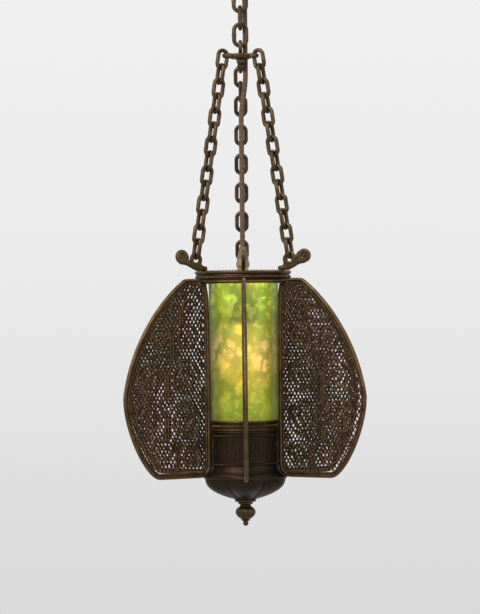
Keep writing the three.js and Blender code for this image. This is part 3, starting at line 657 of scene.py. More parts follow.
def beads(places, detail=2):
    """Small balls, as one mesh. Each place is (centre, radius)."""
    clear_selection()
    bpy.ops.mesh.primitive_ico_sphere_add(subdivisions=detail, radius=1)
    model = bpy.context.object
    ball = np.array([v.co for v in model.data.vertices])
    faces = np.array([p.vertices for p in model.data.polygons])
    bpy.data.objects.remove(model)
    corners = np.vstack([np.array(centre) + ball * size for centre, size in places])
    rows = np.vstack([faces + i * len(ball) for i in range(len(places))])
    mesh = bpy.data.meshes.new("beads")
    mesh.from_pydata(corners.tolist(), [], rows.tolist())
    obj = linked("beads", mesh)
    activate(obj)
    bpy.ops.object.shade_smooth()
    return obj


def bead_ring(r, z, size, count):
    """A level ring of small balls round the axis."""
    return beads([((x, y, z), size) for x, y in circle(0, 0, r, count)], detail=1)


def plate(outlines, thickness, bevel):
    """A flat plate with rounded edges from outlines in x and y, holes included, about z = 0."""
    curve = bpy.data.curves.new("plate", "CURVE")
    curve.dimensions = "2D"
    curve.fill_mode = "BOTH"
    curve.extrude = thickness / 2 - bevel
    curve.bevel_depth = bevel
    curve.bevel_resolution = 2
    curve.offset = -bevel
    for points in outlines:
        spline = curve.splines.new("POLY")
        spline.points.add(len(points) - 1)
        for point, (x, y) in zip(spline.points, points):
            point.co = (x, y, 0, 1)
        spline.use_cyclic_u = True
    return sealed(meshed(curve))


def oval_link(reach, bow, steps=40):
    """Centre line of a chain link in the plane y = 0: two half circles and two straight legs."""
    points = []
    for i in range(steps):
        turn = TURN * (i + 0.5) / steps
        lift = (reach / 2 - bow) * (1 if math.sin(turn) > 0 else -1)
        points.append((bow * math.cos(turn), 0, bow * math.sin(turn) + lift))
    return np.array(points)


def spiral(x, z, outer, inner, start, sweep, steps=40):
    """Points of a flat spiral in the plane y = 0, from its outer end inwards."""
    share = np.linspace(0, 1, steps)
    size = outer + (inner - outer) * share
    turn = start + sweep * share
    return np.c_[x + size * np.cos(turn), np.zeros(steps), z + size * np.sin(turn)]


# Ceiling parts

def canopy_outline(rim, deep):
    """The canopy's stepped bell, from its rim to its flat middle, in radius and height."""
    flat = rim * 0.42
    lip, step = 1.6 * MM, 1.2 * MM
    bell = bezier((rim - 2.4 * MM, -4.6 * MM), (rim - 4 * MM, -deep * 0.62),
                  (flat + 12 * MM, -deep * 0.58), (flat + 2 * MM, -deep + 2.4 * MM), steps=16)
    return (arc(rim - lip, -2.0 * MM, lip, 90, -70) + bell
            + arc(flat, -deep + step, step, 60, -90, 5))


class LANTERN_OT_canopy(bpy.types.Operator):
    """Canopy, collar nut, loop and the fittings under the ceiling"""
    bl_idname = "lantern.canopy"
    bl_label = "Canopy"

    def execute(self, context):
        wall, bore = 1.5 * MM, 5.4 * MM
        rim, deep = radius("canopy"), height("canopy")
        outer = canopy_outline(rim, deep)
        flat_z = outer[-1][1]
        inner = [(r - wall, z + wall * 0.7) for r, z in reversed(outer[5:-3])]
        shell = turned(outer + [(bore, flat_z), (bore, flat_z + wall)] + inner
                       + [(outer[0][0] - wall, 0)], SHELL_STEPS)
        rope = rope_ring(rim - 5.6 * MM, -9.6 * MM)
        pearls = bead_ring(rim * 0.52, -deep * 0.79, 1.15 * MM, count=44)
        piece(joined(shell, rope, pearls), "canopy_shell", "bronze", "root", "canopy")

        z, low, r = span("collar_nut")
        bulge, groove = 1 * MM, 0.35 * MM
        nut = turned([(bore, z), (r - bulge, z)]
                     + arc(r - bulge, (z + low) / 2 + 0.6 * MM, bulge, 80, -80)
                     + [(r - 2.2 * MM, low), (bore, low)], steps=64)
        stroke = [(r - groove, z - 1 * MM), (r - groove, low + 1.9 * MM)]
        knurl = [(swung(stroke, t), False) for t in np.linspace(0, TURN, 40, endpoint=False)]
        nut = joined(nut, wires(knurl, groove * 2))
        piece(nut, "canopy_collar", "bronze", "root", "collar_nut")

        z, low, r = span("canopy_loop")
        wire, shank_r = 4.8 * MM, 5 * MM
        size = r - wire / 2
        centre = low + wire / 2 + size
        crest = centre + size
        stem = [(0, z), (shank_r, z)] + arc(shank_r, crest + 2.2 * MM, 1 * MM, 60, -60)
        stem += [(4.2 * MM, crest), (0, crest)]
        loop = joined(ring_eye(size, centre, wire, [0, 2, 1]), turned(stem, steps=40))
        piece(loop, "canopy_hook_ring", "bronze", "root", "canopy_loop")
        repaint("steel", "mounting_bar")
        repaint("holder", "lead_bush")
        return {"FINISHED"}


# Chains

def link_mesh(node):
    """A main link over its CAD node: oval wire with a flattened seam collar on one leg."""
    wire = sizes().link_wire
    low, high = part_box(node)
    across = 0 if high[0] - low[0] > high[1] - low[1] else 1
    reach = high[2] - low[2] - wire
    bow = (high[across] - low[across] - wire) / 2
    seam = np.array([[-bow, 0, -1.6 * MM], [-bow, 0, 1.6 * MM]])
    obj = joined(wires([(oval_link(reach, bow), True)], wire, sides=4),
                 wires([(seam, False)], wire * 1.14, sides=4))
    if across == 1:
        obj.data.transform(Matrix.Rotation(math.pi / 2, 4, "Z"))
    return lifted(obj, (high[2] + low[2]) / 2)


class LANTERN_OT_main_chain(bpy.types.Operator):
    """Links of the main chain"""
    bl_idname = "lantern.main_chain"
    bl_label = "Main chain"

    def execute(self, context):
        for number, body in enumerate(("chain_top", "chain_run", "chain_run", "chain_end"), 1):
            node = f"chain_link_{number}"
            piece(link_mesh(node), f"main_link_{number}", "chain", body, node)
        return {"FINISHED"}


class LANTERN_OT_side_chains(bpy.types.Operator):
    """The three side chains between crown and horns"""
    bl_idname = "lantern.side_chains"
    bl_label = "Side chains"

    def execute(self, context):
        s = sizes()
        wire, count = s.side_wire, s.side_links
        head_z, foot_z = top("side_chain_2") - wire / 2, foot("side_chain_2") + wire / 2
        spread = s.chain_foot - s.chain_head
        weld = 0.6 * MM
        reach = (math.hypot(head_z - foot_z, spread) + (count - 1) * (wire - weld)) / count
        paths = []
        for i in range(count):
            path = oval_link(reach, (s.side_width - wire) / 2, 28)
            if i % 2:
                path = path[:, [1, 0, 2]]
            paths.append((path - np.array([0, 0, reach / 2 + i * (reach - wire + weld)]), True))
        chain = wires(paths, wire, sides=3)
        lean = Matrix.Rotation(-math.atan2(spread, head_z - foot_z), 4, "Y")
        chain.data.transform(Matrix.Translation((s.chain_head, 0, head_z)) @ lean)
        around(chain, "chain", "side_chain_links", "side_chain_{}", CHAIN_FINS)
        return {"FINISHED"}


# Crown

class LANTERN_OT_crown(bpy.types.Operator):
    """Hanger eye and the crown that carries the side chains"""
    bl_idname = "lantern.crown"
    bl_label = "Crown"

    def execute(self, context):
        wire, shank_r = 4.4 * MM, 2.6 * MM
        z, low = top("hanger_eye"), foot("hanger_eye")
        size = (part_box("hanger_eye")[1][1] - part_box("hanger_eye")[0][1]) / 2 - wire / 2
        under_eye = z - 2 * size - wire / 2
        stem = [(0, under_eye), (shank_r, under_eye), (shank_r, low), (0, low)]
        eye = ring_eye(size, z - wire / 2 - size, wire, [2, 0, 1])
        piece(joined(eye, turned(stem, steps=32)), "hanger_ring", "bronze", "lantern", "hanger_eye")

        z, low = top("crown"), foot("crown")
        middle, thick = (z + low) / 2, z - low
        hub_r, lead_hole, bead_r, bead = 14 * MM, 3.4 * MM, 11 * MM, 0.85 * MM
        hub = plate([circle(0, 0, hub_r - 0.6 * MM, 72), circle(0, 0, 3 * MM),
                     circle(LEAD_BY_CHAIN, LEAD_BY_CHAIN, lead_hole)], thick, bevel=0.9 * MM)
        trims = [rope_ring(hub_r - 0.9 * MM, middle), bead_ring(bead_r, z - 0.1 * MM, bead, 30),
                 bead_ring(bead_r, low + 0.1 * MM, bead, 30)]
        piece(joined(lifted(hub, middle), *trims), "crown_hub", "bronze", "lantern", "crown")

        hole, width, start, root = 17.5 * MM, 6.5 * MM, 10 * MM, 5 * MM
        tip = bezier((start, -root), (start + 3 * MM, -3.8 * MM), (hole - 5 * MM, -width),
                     (hole, -width), steps=8)
        tip += bezier((hole, -width), (hole + 9 * MM, -width), (hole + 9 * MM, width),
                      (hole, width), steps=18)[1:]
        tip += bezier((hole, width), (hole - 5 * MM, width), (start + 3 * MM, 3.8 * MM),
                      (start, root), steps=8)[1:]
        arm = plate([tip, circle(hole, 0, 4 * MM)], thick * 0.9, bevel=1.1 * MM)
        rims = [(np.array([(x, y, face * thick * 0.42) for x, y in circle(hole, 0, 5.1 * MM, 28)]),
                 True) for face in (-1, 1)]
        arm = lifted(joined(arm, wires(rims, 1.1 * MM)), middle)
        around(arm, "bronze", "crown_arm", "crown", CHAIN_FINS)

        z, low, across = span("hanger_nut")
        thick = 5 * MM
        waist = z - thick
        hexagon = plate([circle(0, 0, across, steps=6)], thick, bevel=0.5 * MM)
        deep = waist - low
        drop = [(0, waist + 1 * MM), (across * 0.8, waist + 0.4 * MM)]
        drop += arc(across * 0.72, waist - 0.9 * MM, 0.6 * MM, 70, -70, 4)
        drop += bezier((across * 0.62, waist - deep * 0.2), (across * 1.35, waist - deep * 0.42),
                       (across * 0.62, waist - deep * 0.88), (0, low), steps=12)
        nut = joined(lifted(hexagon, (z + waist) / 2), turned(drop, steps=48))
        piece(nut, "crown_cap_nut", "bronze", "lantern", "hanger_nut")
        return {"FINISHED"}


# Horns and rim

class LANTERN_OT_horns(bpy.types.Operator):
    """The six scroll horns over the rim"""
    bl_idname = "lantern.horns"
    bl_label = "Horns"

    def execute(self, context):
        low, high = foot("horn_4"), top("horn_4")
        start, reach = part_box("horn_4")[0][1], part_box("horn_4")[1][1]
        curl_r, ring_r, ring_hole, curl_hole = 8.2 * MM, 7.8 * MM, 4.2 * MM, 3.4 * MM
        collar_r = radius("rim_collar")
        eye = (sizes().chain_foot, high - curl_r * 2 + 5.3 * MM)
        curl = (reach - curl_r, high - curl_r)
        under = (curl[0], curl[1] - curl_r)

        side = [(start, low), (collar_r + 2 * MM, low)]
        side += bezier((collar_r + 2 * MM, low), (collar_r + 10 * MM, low),
                       (curl[0] - curl_r, under[1]), under, steps=14)[1:]
        side += arc(*curl, curl_r, -90, 198, 33)[1:]
        side += arc(*eye, ring_r, -25, 205, 27)
        side += bezier(side[-1], *near(collar_r, low, (1, 6.5), (-4, 5)), (start, low + 5 * MM),
                       steps=8)[1:]
        body = plate([side, circle(*eye, ring_hole), circle(*curl, curl_hole)], 3.8 * MM,
                     bevel=1 * MM)
        body.data.transform(Matrix.Rotation(math.pi / 2, 4, "X"))
        root = (start + 2.5 * MM, low + 2.5 * MM)
        stem = bezier(root, (collar_r + 8 * MM, low + 2 * MM),
                      (curl[0] - curl_r - 1 * MM, under[1] + 1.6 * MM),
                      (curl[0], under[1] + 1.4 * MM), steps=22)
        volute = spiral(*curl, curl_r - 1.4 * MM, 1.2 * MM, -math.pi / 2, 1.9 * TURN, 60)
        lines, balls = [], [((curl[0], 0, curl[1]), 1.9 * MM)]
        for face in (-1, 1):
            shift = np.array([0, face * 1.7 * MM, 0])
            lines.append((np.vstack([upright(stem[:-1]), volute]) + shift, False))
            lines.append((upright(circle(*eye, 6 * MM, 32)) + shift, True))
            balls.append(((root[0], face * 1.5 * MM, root[1]), 1.3 * MM))
        horn = joined(body, wires(lines, 1.5 * MM, sides=2), beads(balls))
        around(horn, "bronze", "scroll_horn", "horn_{}", range(1, FINS + 1))
        return {"FINISHED"}


class LANTERN_OT_collar(bpy.types.Operator):
    """Rim collar that holds the fins and the head of the glass"""
    bl_idname = "lantern.collar"
    bl_label = "Rim collar"

    def execute(self, context):
        z, low, r = span("rim_collar")
        ledge, bead = 50 * MM, 2.0 * MM
        shelf = top("glass_sleeve") + 4.3 * MM
        middle = (z + low) / 2
        profile = [(ledge, z), (r - bead, z)] + arc(r - bead, z - bead, bead, 90, -70)
        profile += near(r, z, (-2.2, -4.4)) + arc(r - 2.4 * MM, middle, bead, 70, 290, 8)[:1]
        profile += near(r, middle, (-3.0, 1.4), (-3.0, -1.4)) + near(r, low, (-2.2, 4.4))
        profile += arc(r - bead, low + bead, bead, 70, -90)
        profile += [(GLASS_BORE, low), (GLASS_BORE, shelf), (ledge, shelf)]
        ring = joined(turned(profile, SHELL_STEPS), rope_ring(r - 1.9 * MM, middle),
                      bead_ring(ledge + 2.6 * MM, z + 0.2 * MM, 0.9 * MM, count=90))
        piece(ring, "collar_ring", "bronze", "lantern", "rim_collar")
        return {"FINISHED"}


# Fins

def fin_outline():
    """Outline of a fin in radius and height, from the head of its inner edge outwards and round."""
    s = sizes()
    collar_low = foot("rim_collar")
    head, base = top("fin_4"), foot("fin_4")
    inner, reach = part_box("fin_4")[0][1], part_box("fin_4")[1][1]
    collar_r = radius("rim_collar") + FIT
    wide_z = collar_low - s.fin_widest
    rise = reach - s.fin_neck
    tuck = reach - s.fin_foot_out
    points = [(inner, collar_low - FIT), (collar_r, collar_low - FIT), (collar_r, head)]
    points += bezier((s.fin_neck, head),
                     (s.fin_neck + 0.38 * rise, head + 0.15 * (wide_z - head)),
                     (reach - 0.1 * rise, head + 0.54 * (wide_z - head)), (reach, wide_z), steps=30)
    points += bezier((reach, wide_z), (reach, wide_z + 0.43 * (base - wide_z)),
                     (s.fin_foot_out + 0.37 * tuck, base), (s.fin_foot_out, base), steps=24)[1:]
    points += bezier((s.fin_foot_in, base), *near(inner, base, (6, 1), (1, 5), (0, 14)), steps=8)
    return points


def rounded(points, rounds=2):
    """Cuts the corners of a closed outline."""
    points = np.array(points)
    for _ in range(rounds):
        ahead = np.roll(points, -1, 0)
        cut = [0.75 * points + 0.25 * ahead, 0.25 * points + 0.75 * ahead]
        points = np.stack(cut, 1).reshape(-1, 2)
    return points


def inset(points, depth):
    """The closed outline moved inwards by depth. It runs clockwise, as the fin's outline does."""
    path, _, _ = resampled(np.c_[points, np.zeros(len(points))], 1.6 * MM, True)
    along = unit(np.roll(path, -1, 0) - np.roll(path, 1, 0))
    return path[:, :2] + np.c_[along[:, 1], -along[:, 0]] * depth


def inside(points, outline):
    """Which points lie inside an outline."""
    hit = np.zeros(len(points), bool)
    x, y = points[:, 0], points[:, 1]
    for (x1, y1), (x2, y2) in zip(outline, np.roll(outline, -1, 0)):
        if y1 != y2:
            crossing = (y1 > y) != (y2 > y)
            hit ^= crossing & (x < (x2 - x1) * (y - y1) / (y2 - y1) + x1)
    return hit


def scroll_rounds(outline):
    """Rounds that fill a fin, as (x, z, size): pairs in rows, then the largest that still fit."""
    grid, drift, smallest, most = 1.2 * MM, 5 * MM, 1.7 * MM, 160
    low, high = outline.min(0), outline.max(0)
    xs, zs = np.meshgrid(np.arange(low[0], high[0], grid), np.arange(low[1], high[1], grid))
    spots = np.c_[xs.ravel(), zs.ravel()]
    spots = spots[inside(spots, outline)]
    border, _, _ = resampled(np.c_[outline, np.zeros(len(outline))], 2 * MM, True)
    room = np.full(len(spots), 1.0)

    def take(x, z, size):
        """Uses up the room of a round."""
        nonlocal room
        room = np.minimum(room, np.hypot(spots[:, 0] - x, spots[:, 1] - z) - size)
        return x, z, size

    for x, z, _ in border:
        take(x, z, 0)
    collar_low = foot("rim_collar")
    tall = collar_low - foot("fin_4")
    pairs = []
    for share in (0.115, 0.275, 0.475, 0.695, 0.89):
        z = collar_low - share * tall
        row = spots[np.abs(spots[:, 1] - z) < grid]
        left, right = row[:, 0].min(), row[:, 0].max()
        pair = []
        for place in (0.25, 0.75):
            away = np.hypot(spots[:, 0] - (left + (right - left) * place), spots[:, 1] - z)
            best = int(np.where(away < drift, room, 0).argmax())
            pair.append(take(*spots[best], min(room[best], (right - left) / 4)))
        pairs.append(pair)
    fillers = []
    while room.max() > smallest and len(fillers) < most:
        best = int(room.argmax())
        fillers.append(take(*spots[best], room[best]))
    return pairs, fillers


def crossed_wires(outline, start_r, head_z):
    """Straight wires that cross in lozenges, each cut off where it leaves the outline."""
    s = sizes()
    half = np.array([s.mesh_width / 2, s.mesh_height / 2])
    reach = np.linalg.norm(outline.max(0) - outline.min(0))
    step, most = 0.4 * MM, 120
    along = np.arange(-reach, reach, step)
    paths = []
    for hand in (-1, 1):
        direction = half * (hand, 1) / np.linalg.norm(half)
        for count in range(-most, most + 1):
            centre = np.array([start_r + count * s.mesh_width, head_z])
            line = centre + along[:, None] * direction
            kept = np.flatnonzero(inside(line, outline))
            for run in np.split(kept, np.flatnonzero(np.diff(kept) > 1) + 1):
                if len(run) * step > s.mesh_wire * 2:
                    paths.append((upright(line[run[[0, -1]]], hand * s.mesh_wire * 0.22), False))
    return paths


def volute_pair(pair, under_z):
    """Two mirrored scrolls of twisted wire that part from a stem between them, and their beads."""
    s = sizes()
    heart, petal, petals, petal_r = 1.7 * MM, 0.65 * MM, 6, 2.3 * MM
    (x_left, z_left, left), (x_right, z_right, right) = sorted(pair)
    middle = (x_left + left + x_right - right) / 2
    paths, balls = [], []
    for hand, x, z, size in ((-1, x_left, z_left, left), (1, x_right, z_right, right)):
        rim = size - s.strand
        turns = (rim - 3.6 * MM) / s.scroll_pitch
        start = math.pi if hand > 0 else 0
        scroll = spiral(x, z, rim, rim - turns * s.scroll_pitch, start, -hand * turns * TURN,
                        int(40 * turns) + 20)
        stem_x, turn_z = middle + hand * s.strand, (under_z + z) / 2
        stem = bezier((stem_x, under_z), (stem_x, turn_z), (x - hand * rim, turn_z),
                      (x - hand * rim, z), steps=16)
        paths += twisted(np.vstack([upright(stem[:-1]), scroll]), False)
        balls.append(((x, 0, z), heart))
        balls += [((px, 0, pz), petal) for px, pz in circle(x, z, petal_r, petals)]
    for k in range(-1, 2):
        balls.append(((middle, 0, under_z + k * 2.4 * MM), 1.5 * MM - abs(k) * 0.4 * MM))
    return paths, balls


class LANTERN_OT_fins(bpy.types.Operator):
    """The six filigree fins: round bar, twisted border, scrolls and beads over crossed wires"""
    bl_idname = "lantern.fins"
    bl_label = "Fins"

    def execute(self, context):
        s = sizes()
        outline = rounded(fin_outline())
        bar = wires([(upright(inset(outline, s.fin_bar / 2)), True)], s.fin_bar, sides=3)
        edge = inset(outline, (s.fin_bar + s.fin_frame) / 2)
        field = inset(outline, s.fin_frame)
        border = wires(twisted(upright(edge), True), s.strand)
        start_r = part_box("fin_4")[0][1] + s.fin_frame
        head_z = foot("rim_collar") - FIT - s.fin_frame
        mesh = wires(crossed_wires(edge, start_r, head_z), s.mesh_wire)

        pairs, fillers = scroll_rounds(field)
        lowest = foot("fin_4") + 10 * MM
        thick_paths, fine_paths, balls = [], [], []
        for pair, below in zip(pairs, pairs[1:] + [None]):
            z = min(z for _, z, _ in pair)
            stem_z = z - (z - max(max(z for _, z, _ in below), lowest)) * 0.55 if below else lowest
            paths, grains = volute_pair(pair, stem_z)
            thick_paths += paths
            balls += grains
        middle, least_scroll = field[:, 0].mean(), 3.2 * MM
        for x, z, size in fillers:
            ball = size * 0.62
            if size > least_scroll:
                hand = 1 if x > middle else -1
                rim = size - s.fine_wire * 0.5
                ball = min(1.3 * MM, rim * 0.28)
                fine_paths.append((spiral(x, z, rim, rim * 0.3, math.pi / 2 + hand * 0.9,
                                          -hand * 1.7 * TURN, 44), False))
            balls.append(((x, 0, z), ball))
        scrolls = joined(wires(thick_paths, s.strand), wires(fine_paths, s.fine_wire),
                         beads(balls, detail=1))
        # The crossed wires take the bronze darkened as painted shade, so they read as lying behind
        # the scrolls.
        for model, finish, name in ((joined(bar, border), "bronze", "fin_frame"),
                                    (scrolls, "bronze", "fin_filigree"),
                                    (mesh, "painted_shade", "fin_mesh")):
            around(model, finish, name, "fin_{}", range(1, FINS + 1))
        return {"FINISHED"}


# Glass

class LANTERN_OT_glass(bpy.types.Operator):
    """Blown glass sleeve"""
    bl_idname = "lantern.glass"
    bl_label = "Glass sleeve"

    def execute(self, context):
        z, low, r = span("glass_sleeve")
        wall, edge, depth, rows = 3 * MM, 1 * MM, 0.9 * MM, 60
        outer = [(r, z - (z - low) * i / rows) for i in range(rows + 1)]
        outer = (arc(r - edge, z - edge, edge, 90, 20, 3) + outer[1:-1]
                 + arc(r - edge, low + edge, edge, -20, -90, 3))

        def ripple(away, turn, h):
            """Hand-blown waves on the outside."""
            if away <= r - wall / 2:
                return 1
            wave = math.sin(turn * 9 + h * 190) * math.sin(h * 150 + turn * 3)
            return 1 - (0.5 - 0.25 * (wave + math.sin(turn * 5 - h * 90))) * depth / r

        sleeve = turned(outer + [(r - wall, low), (r - wall, z)], steps=144, degrees=60)
        piece(reshaped(sleeve, ripple), "glass_shade", "glass", "glass", "glass_sleeve")
        return {"FINISHED"}


# Lamp

class LANTERN_OT_lamp(bpy.types.Operator):
    """Spider, lampholder and bulb inside the glass"""
    bl_idname = "lantern.lamp"
    bl_label = "Lamp"

    def execute(self, context):
        repaint("steel", "lamp_spider")
        repaint("brass", "lamp_nipple", "lock_nut")
        z, low, r = span("lead_grip")
        bore, ribs, pitch, spread = 3.3 * MM, 7, 1.7 * MM, 0.45 * MM
        profile = [(bore, z)] + arc(4.0 * MM, z - 0.7 * MM, 0.7 * MM, 90, 0, 3)
        for i in range(ribs):
            profile += near(4.6 * MM + i * spread, z - 3 * MM - i * pitch,
                            (-0.8, 0.5), (0, 0), (0, -0.6), (-0.6, -1.0))
        profile += near(r, low, (-0.6, 6), (0, 5), (0, 0.5), (-0.5, 0))
        profile += near(bore, low, (2, 0), (2, 6), (0, 6.4))
        grip = turned(profile, steps=48)
        piece(grip, "lead_strain_relief", "grip", "lantern", "lead_grip")

        z, low, r = span("holder_cap")
        bore = 5.4 * MM
        cap = [(bore, z), (8 * MM, z)]
        cap += bezier((8 * MM, z - 0.4 * MM), (13 * MM, z - 1 * MM),
                      *near(r, z, (-1, -4), (-0.5, -10)), steps=10)
        cap += arc(r - 0.8 * MM, low + 1.4 * MM, 0.8 * MM, 60, -60, 4) + near(r, low, (-2, 0))
        cap += near(r, z, (-2.4, -11)) + [(11 * MM, z - 5.5 * MM), (bore, z - 3 * MM)]
        piece(turned(cap, steps=64), "lampholder_cap", "brass", "lantern", "holder_cap")

        z, low, r = top("lampholder"), foot("lampholder"), radius("lampholder") - 1.5 * MM
        bore, rings, pitch, roof = 13.6 * MM, 9, 1.8 * MM, 5 * MM
        shell = [(0, z)] + near(r, z, (-0.6, 0), (0, -0.6))
        for i in range(rings):
            shell += near(r, z - 8 * MM - i * pitch, (0, 0.9), (-0.7, 0.4), (-0.7, -0.1), (0, -0.5))
        shell += arc(r + 0.2 * MM, low + 2 * MM, 1.25 * MM, 100, -80)
        shell += [(bore, low), (bore, z - roof), (0, z - roof)]
        shell = turned(shell, steps=64)
        piece(shell, "lampholder_shell", "holder", "lantern", "lampholder")

        z, low, r = span("bulb_base")
        threads, pitch = 5, 3.6 * MM
        cap = [(0, z), (4.4 * MM, z), (5 * MM, z - 0.8 * MM)] + near(r, z, (-3, -3), (-1, -4.6))
        for i in range(threads):
            h = z - 5.4 * MM - i * pitch
            cap += [(r - deep * MM, h - pitch * share)
                    for deep, share in ((1.1, 0), (0.1, 0.35), (0.1, 0.55), (1.1, 0.9))]
        cap += near(r, low, (-0.4, 1), (-0.2, 0)) + [(0, low)]
        piece(turned(cap, steps=56), "bulb_screw_cap", "brass", "bulb", "bulb_base")

        z, low, r = span("bulb_envelope")
        centre, neck, wall = low + r, 12.5 * MM, 1 * MM
        globe = bezier((neck, z), (neck + 0.5 * MM, z - 15 * MM), (r * 0.62, centre + r * 0.98),
                       (r * 0.752, centre + r * 0.659), steps=10)
        globe += arc(0, centre, r, 41, -90, 22)[1:]
        globe[-1] = (0, low)
        inner = [(max(0, x - wall), h + (wall if h < centre else 0)) for x, h in reversed(globe)]
        inner[0] = (0, low + wall)
        globe = turned(globe + inner, steps=64, degrees=60)
        piece(globe, "bulb_globe", "bulb", "bulb", "bulb_envelope")
        return {"FINISHED"}


# Base

def seat_ring():
    """The ring that seats the glass, with its hub and three arms."""
    z, low, r = span("base_ring")
    seat = foot("glass_sleeve") - FIT
    inner, hub_r, arm = 35 * MM, 10 * MM, 4 * MM
    profile = [(GLASS_BORE, z), (r - 1.2 * MM, z)]
    profile += arc(r - 1.3 * MM, z - 1.3 * MM, 1.3 * MM, 90, -60)
    profile += [(r - 1.6 * MM, z - 4 * MM), (r - 1.6 * MM, low + 3 * MM)]
    profile += arc(r - 1.2 * MM, low + 1.2 * MM, 1.2 * MM, 60, -90)
    profile += [(inner, low), (inner, seat), (GLASS_BORE, seat)]
    arms = []
    for fin in CHAIN_FINS:
        end = inner + 1 * MM
        bar = plate([[(0, -arm), (end, -arm), (end, arm), (0, arm)]], 3.9 * MM, bevel=0.6 * MM)
        bar = lifted(bar, (seat + low) / 2)
        bar.data.transform(Matrix.Rotation(fin_angle(fin), 4, "Z"))
        arms.append(bar)
    hub = turned([(STUD_BORE, seat), (hub_r, seat), (hub_r, low), (STUD_BORE, low)], steps=40)
    ring = turned(profile, SHELL_STEPS)
    return joined(ring, rope_ring(r - 1.35 * MM, (z + low) / 2), hub, *arms)


def drum_arches(wall_r, high_z, low_z):
    """Paths of an arcade of thin arches round the drum."""
    count, leg = 30, 0.72
    half = TURN / count * 0.36
    spring = low_z + (high_z - low_z) * 0.55
    rise = (high_z - spring) * 0.95
    line = [(-leg, low_z), (-leg, spring)]
    line += [(-math.cos(t), spring + rise * max(0.0, math.sin(t)) + rise * 0.16)
             for t in np.linspace(-0.1, math.pi + 0.1, 13)]
    line += [(leg, spring), (leg, low_z)]
    middles = [TURN * (i + 0.5) / count for i in range(count)]
    return [(np.array([(wall_r * math.cos(middle + part * half),
                        wall_r * math.sin(middle + part * half), h) for part, h in line]), False)
            for middle in middles]


def ribbed_bowl():
    """The drum under the collar of the glass and the scalloped bowl below the fins."""
    z, low, wide = span("base_bowl")
    drum = radius("base_ring") - 0.9 * MM
    rim = foot("fin_4")
    wall, rows = 1.6 * MM, 6
    neck = z - 2.6 * MM
    outer = arc(drum - 0.3 * MM, z - 1.2 * MM, 1.1 * MM, 90, -70, 5)
    outer += [(drum - 0.6 * MM, neck - (neck - rim - 14 * MM) * i / rows) for i in range(rows + 1)]
    outer += bezier(*near(drum, rim, (-0.4, 13), (-0.2, 7)), *near(wide, rim, (-4, 4), (-1.6, 2)),
                    steps=6)
    outer += arc(wide - 1.6 * MM, rim - 0.2 * MM, 1.5 * MM, 80, -60, 6)
    outer += bezier(*near(wide, rim, (-1.6, -2.4), (-0.8, -15)), (31 * MM, rim - 23 * MM),
                    (16 * MM, low + 1.2 * MM), steps=16)
    outer += arc(14 * MM, low + 1.2 * MM, 1.2 * MM, 30, -90, 4)
    inner = [(max(STUD_BORE, x - wall), h + (wall if h < rim else 0))
             for x, h in reversed(outer[4:-4])]
    floor = [(STUD_BORE, low), (STUD_BORE, low + wall)]

    def scallop(away, turn, h):
        """Draws the bowl in between the fins, more the lower it is."""
        if away <= 13 * MM:
            return 1
        below = min(1.0, max(0.0, (rim + 4 * MM - h) / (8 * MM)))
        return 1 - 0.12 * below * (1 - math.cos(FINS * (turn - FRONT))) / 2

    bowl = turned(outer + floor + inner + [(drum - wall, z)], steps=180)
    ropes = [rope_ring(drum - 0.4 * MM, z - 5.2 * MM), rope_ring(drum - 0.2 * MM, rim + 16 * MM)]
    arches = wires(drum_arches(drum - 0.5 * MM, z - 8 * MM, rim + 19 * MM), 1.1 * MM)
    lower = [(x * 0.885, h) for x, h in outer if h < rim - 2 * MM and x > 18 * MM]
    ribs = [(swung(lower, fin_angle(i + 1) + TURN / FINS / 2), False) for i in range(FINS)]
    return joined(reshaped(bowl, scallop), *ropes, arches, wires(ribs, 1.6 * MM, sides=2))


def rosette_flower():
    """The eight-petalled plate between bowl and finial."""
    z, low, r = span("rosette")
    petals, steps, cut = 8, 8, 1.9 * MM
    edge = []
    for i in range(petals * steps):
        t = TURN * i / (petals * steps)
        reach = r - cut * abs(math.cos(t * petals / 2))
        edge.append((reach * math.cos(t), reach * math.sin(t)))
    flower = plate([edge, circle(0, 0, STUD_BORE)], z - low, bevel=0.8 * MM)
    return lifted(flower, (z + low) / 2)


def fluted_finial():
    """The finial: neck, fluted body and ball, with a ring of beads."""
    z, low, r = span("finial")
    h = z - low

    def at(*shares):
        """Points given in shares of the finial's radius and height."""
        return [(r * across, z - h * down) for across, down in shares]

    outer = [(STUD_BORE, z), (r * 0.66, z)]
    outer += arc(r * 0.64, z - h * 0.045, h * 0.045, 80, -80, 5)
    outer += bezier(*at((0.56, 0.10), (0.46, 0.14), (0.48, 0.18), (0.7, 0.22)), steps=6)
    outer += bezier(*at((0.7, 0.22), (1.12, 0.32), (1.08, 0.52), (0.72, 0.63)), steps=16)[1:]
    outer += bezier(*at((0.72, 0.63), (0.5, 0.70), (0.38, 0.73), (0.40, 0.78)), steps=6)[1:]
    outer += arc(0, z - h * 0.885, h * 0.115, 42, -90, 9)[:-1] + [(0, low)]
    flutes = sizes().flute_count
    first, whole = 0.2, 0.46

    def flute(away, turn, v):
        """Rounded grooves down the body, deepest in its middle."""
        share = (z - v) / h
        if not first < share < first + whole or away <= 5 * MM:
            return 1
        depth = math.sin((share - first) / whole * math.pi) * 0.09
        return 1 - depth * (1 - abs(math.cos(turn * flutes / 2)))

    knob = turned(outer + [(0, z - h * 0.5), (STUD_BORE, z - h * 0.5)], steps=120)
    pearls = bead_ring(r * 0.52, z - h * 0.165, 0.8 * MM, count=22)
    return joined(reshaped(knob, flute), pearls)


